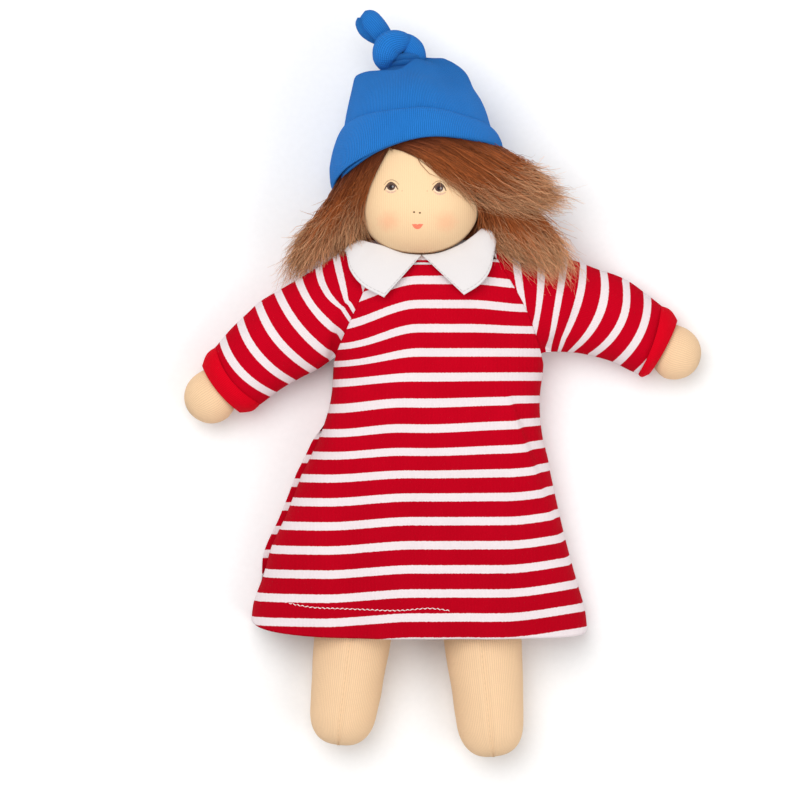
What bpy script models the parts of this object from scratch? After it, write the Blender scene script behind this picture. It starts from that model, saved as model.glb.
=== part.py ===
# A soft cloth doll with a knitted hat, lying on its back.
# +Y runs from the legs to the hat, +Z out of the face, and z = 0 is the surface that it lies on.

import math

import bmesh
import bpy
from mathutils import Vector

# Cloth, thread and gaps, all lengths in metres
GAP = 0.0003               # between pieces that touch
EASE = 0.0006              # between a stuffed body and the cloth over it
JERSEY = 0.0015            # thickness of the striped jersey
RIB = 0.0020               # thickness of the ribbed knit
FLAT_CUT = 0.0005          # how deep the lying side is pressed flat
SPINE_X = -0.0115          # the doll's centre line; its left arm hangs lower, so the box centre lies beside it

# Trunk, from the fold line of the hips up to the neck
FOLD_Y = -0.050
TRUNK_LENGTH = 0.114
TRUNK_WIDTH = 0.092
TRUNK_DEPTH = 0.046
CHEST_LEAN = 0.0075        # how far the chest leans to the raised arm
SEAT_LENGTH = 0.0155       # lower end of the trunk, which carries the legs
trunk_width_shares = ((0, 1.0), (0.3, 0.97), (0.55, 0.92), (0.8, 0.83), (0.92, 0.70), (1, 0.46))
trunk_depth_shares = ((0, 1.0), (0.5, 1.0), (0.8, 0.94), (0.92, 0.80), (1, 0.46))
chest_lean_shares = ((0, 0.15), (0.4, 1.0), (0.75, 1.0), (1, 0.0))
seat_width_shares = ((0, 1.0), (0.5, 1.05), (0.85, 1.04), (1, 0.94))
TRUNK_ROW_POWER = 0.85     # below 1 the rows lie closer together towards the neck

# Neck: a ball in a hollow of the trunk, with the thread that ties it off
NECK_RADIUS = 0.0135
NECK_SINK = 0.001          # the ball's centre lies this far below the trunk's top
NECK_FORWARD = 0.0065      # and this far in front of the trunk's middle
TIE_RADIUS = 0.0008
TIE_RISE = 0.0060

# Head
HEAD_WIDTH = 0.074
HEAD_HEIGHT = 0.0952
HEAD_DEPTH = 0.076
HEAD_LIFT = 0.0094         # from the neck ball's centre up to the chin
HEAD_SHIFT = 0.0005        # the head lies this far beside the centre line
HEAD_HEIGHT_POWER = 2.5    # fuller than an ellipse, seen from the front
HEAD_END_SHARE = 0.07      # of the half turn from chin to crown, left to each end's point
SKIN_PATCH = 0.0004        # thickness of the painted patches
PATCH_RING_SHARE = 0.55    # place of a patch's inner ring

# Face: places are measured from the head's centre, sideways and upwards
EYE_SPREAD = 0.0269
FACE_SHIFT = 0.0018
EYE_DROP = 0.0097
EYE_WIDTH = 0.0086
EYE_HEIGHT = 0.0062
MOUTH_DROP = 0.0312
MOUTH_WIDTH = 0.0062
MOUTH_HEIGHT = 0.0034

# Hair
CAP_THICKNESS = 0.0038
LOCK_THICKNESS = 0.0110
TIP_THICKNESS = 0.0030
HAIR_GAP = 0.0007          # between the head and the hair sewn to it
HAIR_BACK_START = math.radians(195)   # the back hair's first edge, round the head from its right side
HAIR_BACK_SWEEP = math.radians(150)
HAIR_BACK_DROP_SHARE = 0.40           # of the head's height, from its centre down to the back hair's end
lock_full_shares = ((0, 0.30), (0.25, 0.85), (0.5, 1.0), (0.75, 0.85), (1, 0.30))
lock_thinning_shares = ((0, 1.0), (0.5, 0.9), (1, 0.30))
SEAM_GAP = 0.0014          # between the edges joined by a raglan seam

# Hat
HAT_KNIT = RIB
BRIM_TILT = 0.0185         # the brim's front edge is this much higher than its sides
BRIM_LEAN = 0.0105         # its left side is this much lower than its middle
HAT_SLACK = 0.0129         # from the head's top up to the crown's top
HAT_TOP_SHARE = 0.985      # of the crown's height, where its last row lies
CUFF_HEIGHT = 0.020
CUFF_BULGE_SHARE = 0.35    # of the knit's thickness, half way up the turned-up brim
CUFF_SKEW = 0.008          # the turned-up brim is this much wider on its left side
HAT_LEAN = 0.0045          # how far the crown's top leans to the left
KNOT_LENGTH = 0.029
KNOT_WIDTH = 0.0155
KNOT_DEPTH = 0.019
KNOT_OFFSET = 0.0115       # the knot sits this far left of the head's centre
TAIL_WIDTH = 0.0145
TAIL_DEPTH = 0.0085
TAIL_LENGTH = 0.0128
TAIL_ANGLE = math.radians(118)
tail_place_shares = (0.22, 0.545)   # of the knot, from its middle to where the tail comes out
tail_width_shares = ((0, 0.72), (0.25, 0.85), (0.55, 1.0), (0.8, 0.98), (0.93, 0.86), (1, 0.66))

# Arms: each swings about an upright axis at its shoulder
SHOULDER_DROP = 0.023
SHOULDER_SPREAD = 0.0530   # from the chest's middle to each shoulder's axis
SHOULDER_Z = 0.0225
ARM_LENGTH = 0.0855        # from the shoulder's axis to the middle of the hand
ARM_ROOT = 0.0126          # half width, and the radius about the axis
HAND_RADIUS = 0.0146
ARM_DEPTH_SHARE = 0.82
ARM_FALL = 0.0065          # the hand lies this much lower than the shoulder
arm_half_width_shares = ((0, 1.0), (0.25, 1.01), (0.5, 1.0), (0.7, 0.92), (0.8, 0.89))
arm_row_shares = (0, 0.25, 0.5, 0.68, 0.8)
ARM_ANGLES = {"left": math.radians(180 + 31.9), "right": math.radians(-17.6)}

# Sleeves and cuffs
SLEEVE_LENGTH = 0.0655
CUFF_LENGTH = 0.0138
SLEEVE_HALF_WIDTH = 0.0245
SLEEVE_DEPTH_SHARE = 0.66
SLEEVE_RIDE = 0.0040       # the sleeve hangs this far off the arm's axis, towards the neck
sleeve_width_shares = ((0, 1.08), (0.3, 1.04), (0.55, 0.97), (0.8, 0.86), (1, 0.79))
sleeve_depth_shares = ((0, 1.10), (0.3, 1.06), (0.6, 0.98), (1, 0.90))
sleeve_tube_shares = ((0.16, 0.22), (0.32, 0.62), (0.48, 0.94), (0.65, 1.0), (0.82, 1.0), (1, 1.0))
cuff_width_shares = ((0, 0.76), (0.5, 0.75), (1, 0.635))
cuff_row_shares = (0, 0.35, 0.7, 1)

# Legs: each spreads about an upright axis at its hip seam
LEG_HALF_WIDTH = 0.0220
LEG_HALF_DEPTH = 0.0195
LEG_SPREAD = 0.0300        # from the centre line to each hip seam's axis
LEG_LENGTHS = {"left": 0.1175, "right": 0.1235}
LEG_ANGLES = {"left": math.radians(-90 - 7.5), "right": math.radians(-90 + 5.5)}
LEG_ROOT_SHARE = 0.93
leg_width_shares = ((0, 0.93), (0.25, 0.98), (0.5, 0.98), (0.75, 0.89), (1, 0.80))
leg_row_shares = (0, 0.15, 0.32, 0.5, 0.68)
LEG_TIP_POWER = 2.5
LEG_TIP_SHARE = 0.17       # of the leg's length, rounded off

# Dress: half widths left and right of the centre line, up from the fold line and down from it
HEM_HALF_WIDTH = 0.0938
SKIRT_LENGTH = 0.092
HEM_LIFT = 0.0065          # the hem rises this much at its sides
BODICE_LENGTH = 0.116
SEAM_Z = 0.0150            # height of the bodice's side seams
HEM_SEAM_Z = 0.0090
HEM_DEPTH = 0.0500
FOLD_WAVE = 0.0011         # height of the skirt's soft folds
FOLD_TURNS = 13            # how fast they follow each other across the skirt
skirt_left_shares = ((0, 0.692), (0.28, 0.796), (0.47, 0.876), (0.68, 0.929), (0.87, 0.985), (1, 1.0))
skirt_right_shares = ((0, 0.776), (0.28, 0.836), (0.47, 0.881), (0.68, 0.935), (0.87, 0.985), (1, 1.0))
bodice_left_shares = ((0, 0.692), (0.10, 0.630), (0.215, 0.570), (0.353, 0.522), (0.517, 0.506), (1, 0.506))
bodice_right_shares = ((0, 0.776), (0.07, 0.761), (0.19, 0.726), (0.353, 0.712), (0.53, 0.735), (1, 0.735))
raglan_left_shares = ((0.517, 0.506), (0.61, 0.468), (0.72, 0.415), (0.86, 0.42), (1, 0.44))
raglan_right_shares = ((0.517, 0.735), (0.65, 0.690), (0.80, 0.618), (1, 0.475))
ARMPIT_SHARE = 0.517       # of the bodice's length, where the raglan seams start
SLEEVE_ARMPIT_SHARE = 0.56
FRONT_POWER = 0.62         # below 1 the front is fuller than half an ellipse
BACK_POWER = 0.40
bodice_rise_shares = ((0, 1.0), (0.85, 1.0), (1, 0.96))
SIDE_SEAM_SHARE = 0.97     # a row that reaches further out than this ends in the side seam

# Neckline, collar and the closing tape inside the back
binding_shares = (0.326, 0.38)       # its half width and half depth, of the trunk's width and depth
BINDING_THICKNESS = 0.0014
COLLAR_THICKNESS = 0.0012
TAPE_WIDTH = 0.012
TAPE_LENGTH = 0.060
TAPE_THICKNESS = 0.0010
TAPE_TOP = 0.012           # below the trunk's top

# Counts around and along
AROUND = 28
PANEL_STEPS = 20

SIDE = {"left": -1, "right": 1}

# Places that follow from the sizes above
TRUNK_TOP = FOLD_Y + TRUNK_LENGTH
TRUNK_Z = JERSEY + EASE + TAPE_THICKNESS + EASE + TRUNK_DEPTH / 2
DRESS_TOP_Z = TRUNK_Z + TRUNK_DEPTH / 2 + EASE + JERSEY
NECK = Vector((SPINE_X, TRUNK_TOP - NECK_SINK, TRUNK_Z + NECK_FORWARD))
HAT_INNER_OVER_HEAD = HAIR_GAP + CAP_THICKNESS + GAP
HEAD = Vector((
    SPINE_X - HEAD_SHIFT,
    NECK.y + HEAD_LIFT + HEAD_HEIGHT / 2,
    HEAD_DEPTH / 2 + HAT_INNER_OVER_HEAD + HAT_KNIT + GAP + HAT_KNIT - FLAT_CUT,
))
CHEST_X = SPINE_X + CHEST_LEAN
SHOULDER_Y = TRUNK_TOP - SHOULDER_DROP
HAT_RISE = HEAD_HEIGHT / 2 + HAT_SLACK
HIP_Y = FOLD_Y - SEAT_LENGTH - GAP - LEG_HALF_WIDTH * LEG_ROOT_SHARE
LEG_Z = JERSEY + EASE + LEG_HALF_DEPTH


def along(shares, place):
    """Value at a place of a table of (place, value) shares, joined by a smooth curve."""
    if place <= shares[0][0]:
        return shares[0][1]
    if place >= shares[-1][0]:
        return shares[-1][1]
    index = max(i for i, pair in enumerate(shares[:-1]) if pair[0] <= place)
    (x0, y0), (x1, y1) = shares[index], shares[index + 1]
    before = shares[index - 1] if index > 0 else shares[index]
    after = shares[index + 2] if index + 2 < len(shares) else shares[index + 1]
    slope0 = (y1 - before[1]) / (x1 - before[0])
    slope1 = (after[1] - y0) / (after[0] - x0)
    step = x1 - x0
    t = (place - x0) / step
    return (
        y0 * (2 * t ** 3 - 3 * t ** 2 + 1) + slope0 * step * (t ** 3 - 2 * t ** 2 + t)
        + y1 * (3 * t ** 2 - 2 * t ** 3) + slope1 * step * (t ** 3 - t ** 2)
    )


def rounded(value, power):
    """Height of a rounded end, 1 in the middle (value 0) and 0 at the end (value 1)."""
    return max(0.0, 1 - abs(value) ** power) ** (1 / power)


def material(name, colour, roughness):
    made = bpy.data.materials.get(name) or bpy.data.materials.new(name)
    made.use_nodes = True
    shader = made.node_tree.nodes["Principled BSDF"]
    shader.inputs["Base Color"].default_value = (*colour, 1)
    shader.inputs["Roughness"].default_value = roughness
    shader.inputs["Metallic"].default_value = 0
    return made


COLOURS = {
    "skin": ((0.93, 0.71, 0.43), 0.85),
    "hair": ((0.20, 0.05, 0.015), 0.80),
    "hat": ((0.03, 0.20, 0.62), 0.90),
    "red_jersey": ((0.60, 0.008, 0.018), 0.88),
    "white_cotton": ((0.85, 0.82, 0.80), 0.90),
    "eye_paint": ((0.05, 0.03, 0.025), 0.60),
    "mouth_paint": ((0.75, 0.16, 0.13), 0.70),
    "thread": ((0.80, 0.72, 0.60), 0.85),
}


def add_object(name, points, faces, finish):
    """A smooth closed body from points and faces, with its faces turned outwards."""
    mesh = bpy.data.meshes.new(name)
    mesh.from_pydata([tuple(point) for point in points], [], faces)
    shape = bmesh.new()
    shape.from_mesh(mesh)
    bmesh.ops.recalc_face_normals(shape, faces=shape.faces)
    shape.to_mesh(mesh)
    shape.free()
    mesh.materials.append(material(finish, *COLOURS[finish]))
    mesh.shade_smooth()
    mesh.set_sharp_from_angle(angle=math.radians(50))
    made = bpy.data.objects.new(name, mesh)
    bpy.context.scene.collection.objects.link(made)
    return made


def loft(name, rings, finish, first_end=None, last_end=None, looped=False):
    """A body through rings of points; its ends close on a point or on a flat face."""
    count = len(rings[0])
    points = [point for ring in rings for point in ring]
    faces = []
    spans = len(rings) if looped else len(rings) - 1
    for row in range(spans):
        here, there = row * count, (row + 1) % len(rings) * count
        for k in range(count):
            after = (k + 1) % count
            faces.append((here + k, here + after, there + after, there + k))
    if not looped:
        for row, end in ((0, first_end), (len(rings) - 1, last_end)):
            ring = [row * count + k for k in range(count)]
            if end is None:
                faces.append(tuple(ring))
                continue
            points.append(end)
            faces.extend((ring[k], ring[(k + 1) % count], len(points) - 1) for k in range(count))
    return add_object(name, points, faces, finish)


def sheet(name, outer, inner, finish):
    """A thick sheet between two grids of points of the same size."""
    rows, columns = len(outer), len(outer[0])
    points = [point for row in outer for point in row] + [point for row in inner for point in row]
    below = rows * columns
    faces = []
    for i in range(rows - 1):
        for j in range(columns - 1):
            a, b = i * columns + j, (i + 1) * columns + j
            faces.append((a, a + 1, b + 1, b))
            faces.append((below + a, below + b, below + b + 1, below + a + 1))
    rim = [(0, j) for j in range(columns)] + [(i, columns - 1) for i in range(1, rows)]
    rim += [(rows - 1, j) for j in range(columns - 2, -1, -1)] + [(i, 0) for i in range(rows - 2, 0, -1)]
    for k, (i, j) in enumerate(rim):
        i2, j2 = rim[(k + 1) % len(rim)]
        a, b = i * columns + j, i2 * columns + j2
        faces.append((a, below + a, below + b, b))
    return add_object(name, points, faces, finish)


def ring(centre, sideways, half_width, half_depth, count=AROUND, power=2.0):
    """Points round a section that stands across a body; sideways is its level direction."""
    points = []
    for k in range(count):
        angle = 2 * math.pi * k / count
        c, s = math.cos(angle), math.sin(angle)
        across = half_width * math.copysign(abs(c) ** (2 / power), c)
        rise = half_depth * math.copysign(abs(s) ** (2 / power), s)
        points.append(centre + sideways * across + Vector((0, 0, rise)))
    return points


def cut(body, cutter):
    """Takes the cutter's shape out of the body."""
    cutter.hide_render = True
    cutter.display_type = "WIRE"
    modifier = body.modifiers.new("cut", "BOOLEAN")
    modifier.operation = "DIFFERENCE"
    modifier.solver = "EXACT"
    modifier.object = cutter


def ball(name, centre, radius, finish, segments=20):
    rings = []
    for i in range(1, segments // 2):
        angle = math.pi * i / (segments // 2)
        place = centre + Vector((0, -radius * math.cos(angle), 0))
        half = radius * math.sin(angle)
        rings.append(ring(place, Vector((1, 0, 0)), half, half, segments))
    reach = Vector((0, radius, 0))
    return loft(name, rings, finish, centre - reach, centre + reach)


# Trunk and neck

def trunk_middle(share):
    lean = CHEST_LEAN * along(chest_lean_shares, share)
    return Vector((SPINE_X + lean, FOLD_Y + share * TRUNK_LENGTH, TRUNK_Z))


def make_trunk():
    sections = 13
    rings = []
    for i in range(sections):
        share = (i / (sections - 1)) ** TRUNK_ROW_POWER
        middle = trunk_middle(share)
        if i == 0:
            middle.y += GAP / 2
        half_width = TRUNK_WIDTH / 2 * along(trunk_width_shares, share)
        half_depth = TRUNK_DEPTH / 2 * along(trunk_depth_shares, share)
        rings.append(ring(middle, Vector((1, 0, 0)), half_width, half_depth, power=2.3))
    body = loft("torso", rings, "skin")
    cut(body, ball("neck_hollow", NECK, NECK_RADIUS + GAP, "skin"))


def make_seat():
    rings = []
    for share, width_share in seat_width_shares:
        middle = trunk_middle(0)
        middle.y = FOLD_Y - GAP / 2 - share * (SEAT_LENGTH - GAP)
        rings.append(ring(middle, Vector((1, 0, 0)), TRUNK_WIDTH / 2 * width_share,
                          TRUNK_DEPTH / 2 * min(1, width_share), power=2.3))
    loft("seat", rings, "skin")


def make_neck():
    ball("neck", NECK, NECK_RADIUS, "skin", 24)
    level = NECK.y + TIE_RISE
    waist = math.sqrt(NECK_RADIUS ** 2 - TIE_RISE ** 2) + GAP + TIE_RADIUS
    turns, sides = 28, 6
    rings = []
    for i in range(turns):
        turn = 2 * math.pi * i / turns
        out = Vector((math.cos(turn), 0, math.sin(turn)))
        loop = []
        for k in range(sides):
            angle = 2 * math.pi * k / sides
            offset = out * math.cos(angle) + Vector((0, math.sin(angle), 0))
            loop.append(Vector((NECK.x, level, NECK.z)) + out * waist + offset * TIE_RADIUS)
        rings.append(loop)
    loft("neck_tie", rings, "thread", looped=True)


# Head, face and hair

def head_half_width(y, grow=0.0):
    return (HEAD_WIDTH / 2 + grow) * rounded((y - HEAD.y) / (HEAD_HEIGHT / 2 + grow), HEAD_HEIGHT_POWER)


def head_front(x, y, grow=0.0):
    """Height of the head's front over a place in plan, or its middle height beside the head."""
    half = head_half_width(y, grow)
    if half <= 0 or abs(x - HEAD.x) >= half:
        return HEAD.z
    depth = half * (HEAD_DEPTH / 2 + grow) / (HEAD_WIDTH / 2 + grow)
    return HEAD.z + depth * math.sqrt(1 - ((x - HEAD.x) / half) ** 2)


def head_rings(grow, steps, count=AROUND):
    rings = []
    for i in range(steps):
        turn = math.pi * (HEAD_END_SHARE + (1 - 2 * HEAD_END_SHARE) * i / (steps - 1))
        y = HEAD.y - (HEAD_HEIGHT / 2 + grow) * math.cos(turn)
        half = head_half_width(y, grow)
        depth = half * (HEAD_DEPTH / 2 + grow) / (HEAD_WIDTH / 2 + grow)
        rings.append(ring(Vector((HEAD.x, y, HEAD.z)), Vector((1, 0, 0)), half, depth, count))
    return rings


def make_head():
    rings = head_rings(0, 17, 32)
    reach = Vector((0, HEAD_HEIGHT / 2, 0))
    body = loft("head", rings, "skin", HEAD - reach, HEAD + reach)
    cut(body, ball("neck_room", NECK, NECK_RADIUS + GAP, "skin"))


def face_patch(name, x, y, width, height, finish):
    """A thin painted patch that follows the face."""
    loops = 12
    grids = []
    for level in (GAP, GAP + SKIN_PATCH):
        points = [Vector((x, y, head_front(x, y, level)))]
        for share in (PATCH_RING_SHARE, 1.0):
            for k in range(loops):
                angle = 2 * math.pi * k / loops
                px = x + width / 2 * share * math.cos(angle)
                py = y + height / 2 * share * math.sin(angle)
                points.append(Vector((px, py, head_front(px, py, level))))
        grids.append(points)
    top = len(grids[0])
    faces = []
    for k in range(loops):
        after = (k + 1) % loops
        for base in (0, top):
            inner, inner2 = base + 1 + k, base + 1 + after
            faces.append((base, inner, inner2))
            faces.append((inner, inner + loops, inner2 + loops, inner2))
        faces.append((1 + loops + k, 1 + loops + after, top + 1 + loops + after, top + 1 + loops + k))
    add_object(name, grids[0] + grids[1], faces, finish)


def make_face():
    middle = HEAD.x - FACE_SHIFT
    for name, side in SIDE.items():
        face_patch("eye_" + name, middle + side * EYE_SPREAD / 2, HEAD.y - EYE_DROP, EYE_WIDTH, EYE_HEIGHT,
                   "eye_paint")
    face_patch("mouth", middle, HEAD.y - MOUTH_DROP, MOUTH_WIDTH, MOUTH_HEIGHT, "mouth_paint")


def brim_y(turn):
    """Height along the doll of the brim's edge, at an angle round the head."""
    return HEAD.y + BRIM_TILT * math.sin(turn) + BRIM_LEAN * math.cos(turn)


def make_hair_cap():
    """The hair on the crown, under the hat, from the brim's line up."""
    steps = 7
    outer, inner = [], []
    for i in range(steps):
        share = i / steps
        for grid, grow in ((outer, HAIR_GAP + CAP_THICKNESS), (inner, HAIR_GAP)):
            loop = []
            for k in range(AROUND):
                turn = 2 * math.pi * k / AROUND
                start = brim_y(turn) + HAT_KNIT
                top = HEAD.y + HEAD_HEIGHT / 2 + grow
                y = start + (top - start) * math.sin(share * math.pi / 2)
                half = head_half_width(y, grow)
                depth = half * (HEAD_DEPTH / 2 + grow) / (HEAD_WIDTH / 2 + grow)
                loop.append(Vector((HEAD.x + half * math.cos(turn), y, HEAD.z + depth * math.sin(turn))))
            grid.append(loop)
    top = HEAD.y + HEAD_HEIGHT / 2 + HAIR_GAP
    loft("hair_cap", list(reversed(inner)) + outer, "hair", Vector((HEAD.x, top, HEAD.z)),
         Vector((HEAD.x, top + CAP_THICKNESS, HEAD.z)))


def make_hair_back():
    """The hair at the back of the head, from under the hat down to the neck."""
    rows, columns = 8, 13
    grids = []
    for grow in (HAIR_GAP + CAP_THICKNESS, HAIR_GAP):
        grid = []
        for i in range(rows):
            line = []
            for j in range(columns):
                turn = HAIR_BACK_START + HAIR_BACK_SWEEP * j / (columns - 1)
                high = brim_y(turn) + HAT_KNIT - GAP
                low = HEAD.y - HEAD_HEIGHT * HAIR_BACK_DROP_SHARE
                y = low + (high - low) * i / (rows - 1)
                half = head_half_width(y, grow)
                depth = half * (HEAD_DEPTH / 2 + grow) / (HEAD_WIDTH / 2 + grow)
                line.append(Vector((HEAD.x + half * math.cos(turn), y, HEAD.z + depth * math.sin(turn))))
            grid.append(line)
        grids.append(grid)
    sheet("hair_back", grids[0], grids[1], "hair")


# Hair beside the face, along guide lines from the face's edge to the outer edge. Each place is measured from
# the head's centre: sideways in half head widths, upwards in half head heights, forwards in half head depths.
lock_guide_shares = {
    "left": (
        ((-0.37, 0.21, 0.93), (-0.55, 0.02, 0.87), (-0.72, -0.28, 0.66),
         (-0.86, -0.55, 0.42), (-0.98, -0.77, 0.27), (-1.20, -0.96, 0.18)),
        ((-0.70, 0.12, 0.86), (-0.92, -0.12, 0.67), (-1.10, -0.43, 0.36),
         (-1.26, -0.68, 0.20), (-1.38, -0.87, 0.13), (-1.50, -1.04, 0.08)),
        ((-0.98, -0.08, 0.58), (-1.24, -0.31, 0.30), (-1.42, -0.54, 0.12),
         (-1.60, -0.78, 0.03), (-1.73, -0.95, 0.0), (-1.84, -1.10, -0.02)),
        ((-1.18, -0.25, 0.28), (-1.40, -0.42, 0.06), (-1.60, -0.61, -0.08),
         (-1.77, -0.84, -0.10), (-1.90, -1.00, -0.10), (-2.00, -1.14, -0.10)),
    ),
    "right": (
        ((-0.30, 0.21, 0.93), (0.20, 0.08, 1.00), (0.62, -0.17, 0.80),
         (0.92, -0.47, 0.50), (1.10, -0.73, 0.28), (1.36, -0.96, 0.14)),
        ((0.09, 0.29, 1.04), (0.64, 0.12, 0.98), (1.12, -0.16, 0.62),
         (1.40, -0.48, 0.32), (1.58, -0.78, 0.12), (1.74, -1.04, 0.08)),
        ((0.55, 0.33, 1.01), (1.03, 0.19, 0.74), (1.42, -0.06, 0.34),
         (1.67, -0.38, 0.10), (1.84, -0.72, 0.02), (2.00, -1.06, -0.02)),
        ((0.98, 0.29, 0.56), (1.34, 0.19, 0.27), (1.64, 0.02, 0.02),
         (1.86, -0.22, -0.10), (2.02, -0.58, -0.10), (2.16, -1.00, -0.10)),
    ),
}


def lock_guide(side, down, over):
    """A place on a lock's front: down runs from the hat to the tips, over from the face outwards."""
    guides = lock_guide_shares[side]
    lines = []
    for guide in guides:
        place = down * (len(guide) - 1)
        lines.append([along([(k, entry[axis]) for k, entry in enumerate(guide)], place) for axis in range(3)])
    place = over * (len(guides) - 1)
    across, up, out = (along([(k, line[axis]) for k, line in enumerate(lines)], place) for axis in range(3))
    return HEAD + Vector((HEAD_WIDTH / 2 * across, HEAD_HEIGHT / 2 * up, HEAD_DEPTH / 2 * out))


def make_lock(side):
    rows, columns = 12, 9
    sleeve_top = SHOULDER_Z + SLEEVE_HALF_WIDTH * SLEEVE_DEPTH_SHARE * sleeve_depth_shares[0][1] + EASE
    tops, floors = [], []
    for i in range(rows):
        down = i / (rows - 1)
        top_row, floor_row = [], []
        for j in range(columns):
            over = j / (columns - 1)
            top = lock_guide(side, down, over)
            full = along(lock_full_shares, over) * along(lock_thinning_shares, down)
            thick = TIP_THICKNESS + (LOCK_THICKNESS - TIP_THICKNESS) * full
            level = top.z - thick
            if top.y < TRUNK_TOP + TRUNK_LENGTH * collar_inner_shares[3][1] + HAIR_GAP:
                level = max(level, sleeve_top)
            top_row.append(Vector((top.x, top.y, level + thick)))
            floor_row.append(Vector((top.x, top.y, level)))
        tops.append(top_row)
        floors.append(floor_row)
    lock = sheet("hair_" + side, tops, floors, "hair")
    reach = Vector((0, HEAD_HEIGHT / 2 + HAIR_GAP, 0))
    cut(lock, loft("head_room_" + side, head_rings(HAIR_GAP, 17, 32), "skin", HEAD - reach, HEAD + reach))


# Hat: rings about the head's long axis, which lean to the left towards the top

HAT_INNER = HEAD_WIDTH / 2 + HAT_INNER_OVER_HEAD + EASE
HAT_INNER_DEPTH = HEAD_DEPTH / 2 + HAT_INNER_OVER_HEAD + EASE - GAP
hat_width_shares = ((0, 1.0), (0.2, 1.0), (0.44, 0.975), (0.65, 0.89), (0.8, 0.80), (0.93, 0.68), (1, 0.50))


def hat_point(turn, rise_share, start, grow, flat=False):
    top = HEAD.y + HAT_RISE - HAT_KNIT + grow
    base = HEAD.y + start
    y = base + (top - base) * rise_share
    level = max(0.0, (y - HEAD.y) / HAT_RISE)
    size = along(hat_width_shares, min(1, level))
    x = HEAD.x - HAT_LEAN * level ** 2 + (HAT_INNER * size + grow) * math.cos(turn)
    z = HEAD.z + (HAT_INNER_DEPTH * size + grow) * math.sin(turn)
    return Vector((x, y, max(0.0, z) if flat else z))


def make_hat_crown():
    steps = 8
    outer, inner = [], []
    for i in range(steps):
        share = math.sin(i / steps * math.pi / 2) * HAT_TOP_SHARE
        for grid, grow in ((outer, HAT_KNIT), (inner, 0.0)):
            loop = []
            for k in range(AROUND):
                turn = 2 * math.pi * k / AROUND
                start = BRIM_TILT * math.sin(turn) + BRIM_LEAN * math.cos(turn)
                loop.append(hat_point(turn, share, start, grow, grow > 0))
            grid.append(loop)
    lean = HEAD.x - HAT_LEAN
    under = Vector((lean, HEAD.y + HAT_RISE - HAT_KNIT, HEAD.z))
    over = Vector((lean, HEAD.y + HAT_RISE, HEAD.z))
    loft("hat_crown", list(reversed(inner)) + outer, "hat", under, over)


def make_hat_cuff():
    """The brim, turned up over the crown; it bulges a little half way up."""
    steps = 5
    outer, inner = [], []
    for i in range(steps):
        share = i / (steps - 1)
        for grid, grow in ((outer, HAT_KNIT * (2 + CUFF_BULGE_SHARE * math.sin(math.pi * share)) + GAP),
                           (inner, HAT_KNIT + GAP)):
            loop = []
            for k in range(AROUND):
                turn = 2 * math.pi * k / AROUND
                low = BRIM_TILT * math.sin(turn) + BRIM_LEAN * math.cos(turn)
                high = low + CUFF_HEIGHT - CUFF_SKEW * math.cos(turn)
                rise = low + (high - low) * share
                loop.append(hat_point(turn, 0, rise, grow, grow > HAT_KNIT + GAP))
            grid.append(loop)
    loft("hat_cuff", list(reversed(inner)) + outer, "hat", looped=True)


def make_knot_and_tail():
    middle = Vector((HEAD.x - KNOT_OFFSET, HEAD.y + HAT_RISE + GAP + KNOT_WIDTH / 2, HEAD.z))
    steps = 11
    rings = []
    for i in range(1, steps):
        share = -1 + 2 * i / steps
        half = math.sqrt(1 - share ** 2)
        place = middle + Vector((share * KNOT_LENGTH / 2, 0, 0))
        loop = []
        for k in range(16):
            angle = 2 * math.pi * k / 16
            loop.append(place + Vector((0, KNOT_WIDTH / 2 * half * math.cos(angle),
                                        KNOT_DEPTH / 2 * half * math.sin(angle))))
        rings.append(loop)
    end = Vector((KNOT_LENGTH / 2, 0, 0))
    loft("hat_knot", rings, "hat", middle - end, middle + end)
    heading = Vector((math.cos(TAIL_ANGLE), math.sin(TAIL_ANGLE), 0))
    sideways = Vector((math.sin(TAIL_ANGLE), -math.cos(TAIL_ANGLE), 0))
    start = middle + Vector((-KNOT_LENGTH * tail_place_shares[0], KNOT_WIDTH * tail_place_shares[1], 0))
    rings = []
    for share, width_share in tail_width_shares:
        place = start + heading * (TAIL_LENGTH * share)
        rings.append(ring(place, sideways, TAIL_WIDTH / 2 * width_share, TAIL_DEPTH / 2 * width_share, 16))
    loft("hat_tail", rings, "hat")


# Arms, sleeves and cuffs

def arm_frame(side):
    angle = ARM_ANGLES[side]
    heading = Vector((math.cos(angle), math.sin(angle), 0))
    towards_neck = Vector((-heading.y, heading.x, 0)) * SIDE[side]
    pivot = Vector((CHEST_X + SIDE[side] * SHOULDER_SPREAD, SHOULDER_Y, SHOULDER_Z))
    return pivot, heading, towards_neck


def arm_middle(side, reach):
    pivot, heading, _ = arm_frame(side)
    fall = ARM_FALL * min(1.0, max(0.0, reach / ARM_LENGTH))
    return pivot + heading * reach - Vector((0, 0, fall))


def make_arm(side):
    _, heading, towards_neck = arm_frame(side)
    stations = [(-ARM_ROOT * math.cos(math.pi / 2 * i / 4), ARM_ROOT * math.sin(math.pi / 2 * i / 4))
                for i in range(1, 4)]
    for share in arm_row_shares:
        stations.append((ARM_LENGTH * share, ARM_ROOT * along(arm_half_width_shares, share)))
    for i in range(3, 10):
        turn = math.pi * i / 10
        stations.append((ARM_LENGTH - HAND_RADIUS * math.cos(turn), HAND_RADIUS * math.sin(turn)))
    rings = [ring(arm_middle(side, reach), towards_neck, half, half * ARM_DEPTH_SHARE, 20)
             for reach, half in stations]
    loft("arm_" + side, rings, "skin", arm_middle(side, -ARM_ROOT), arm_middle(side, ARM_LENGTH + HAND_RADIUS))


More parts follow.
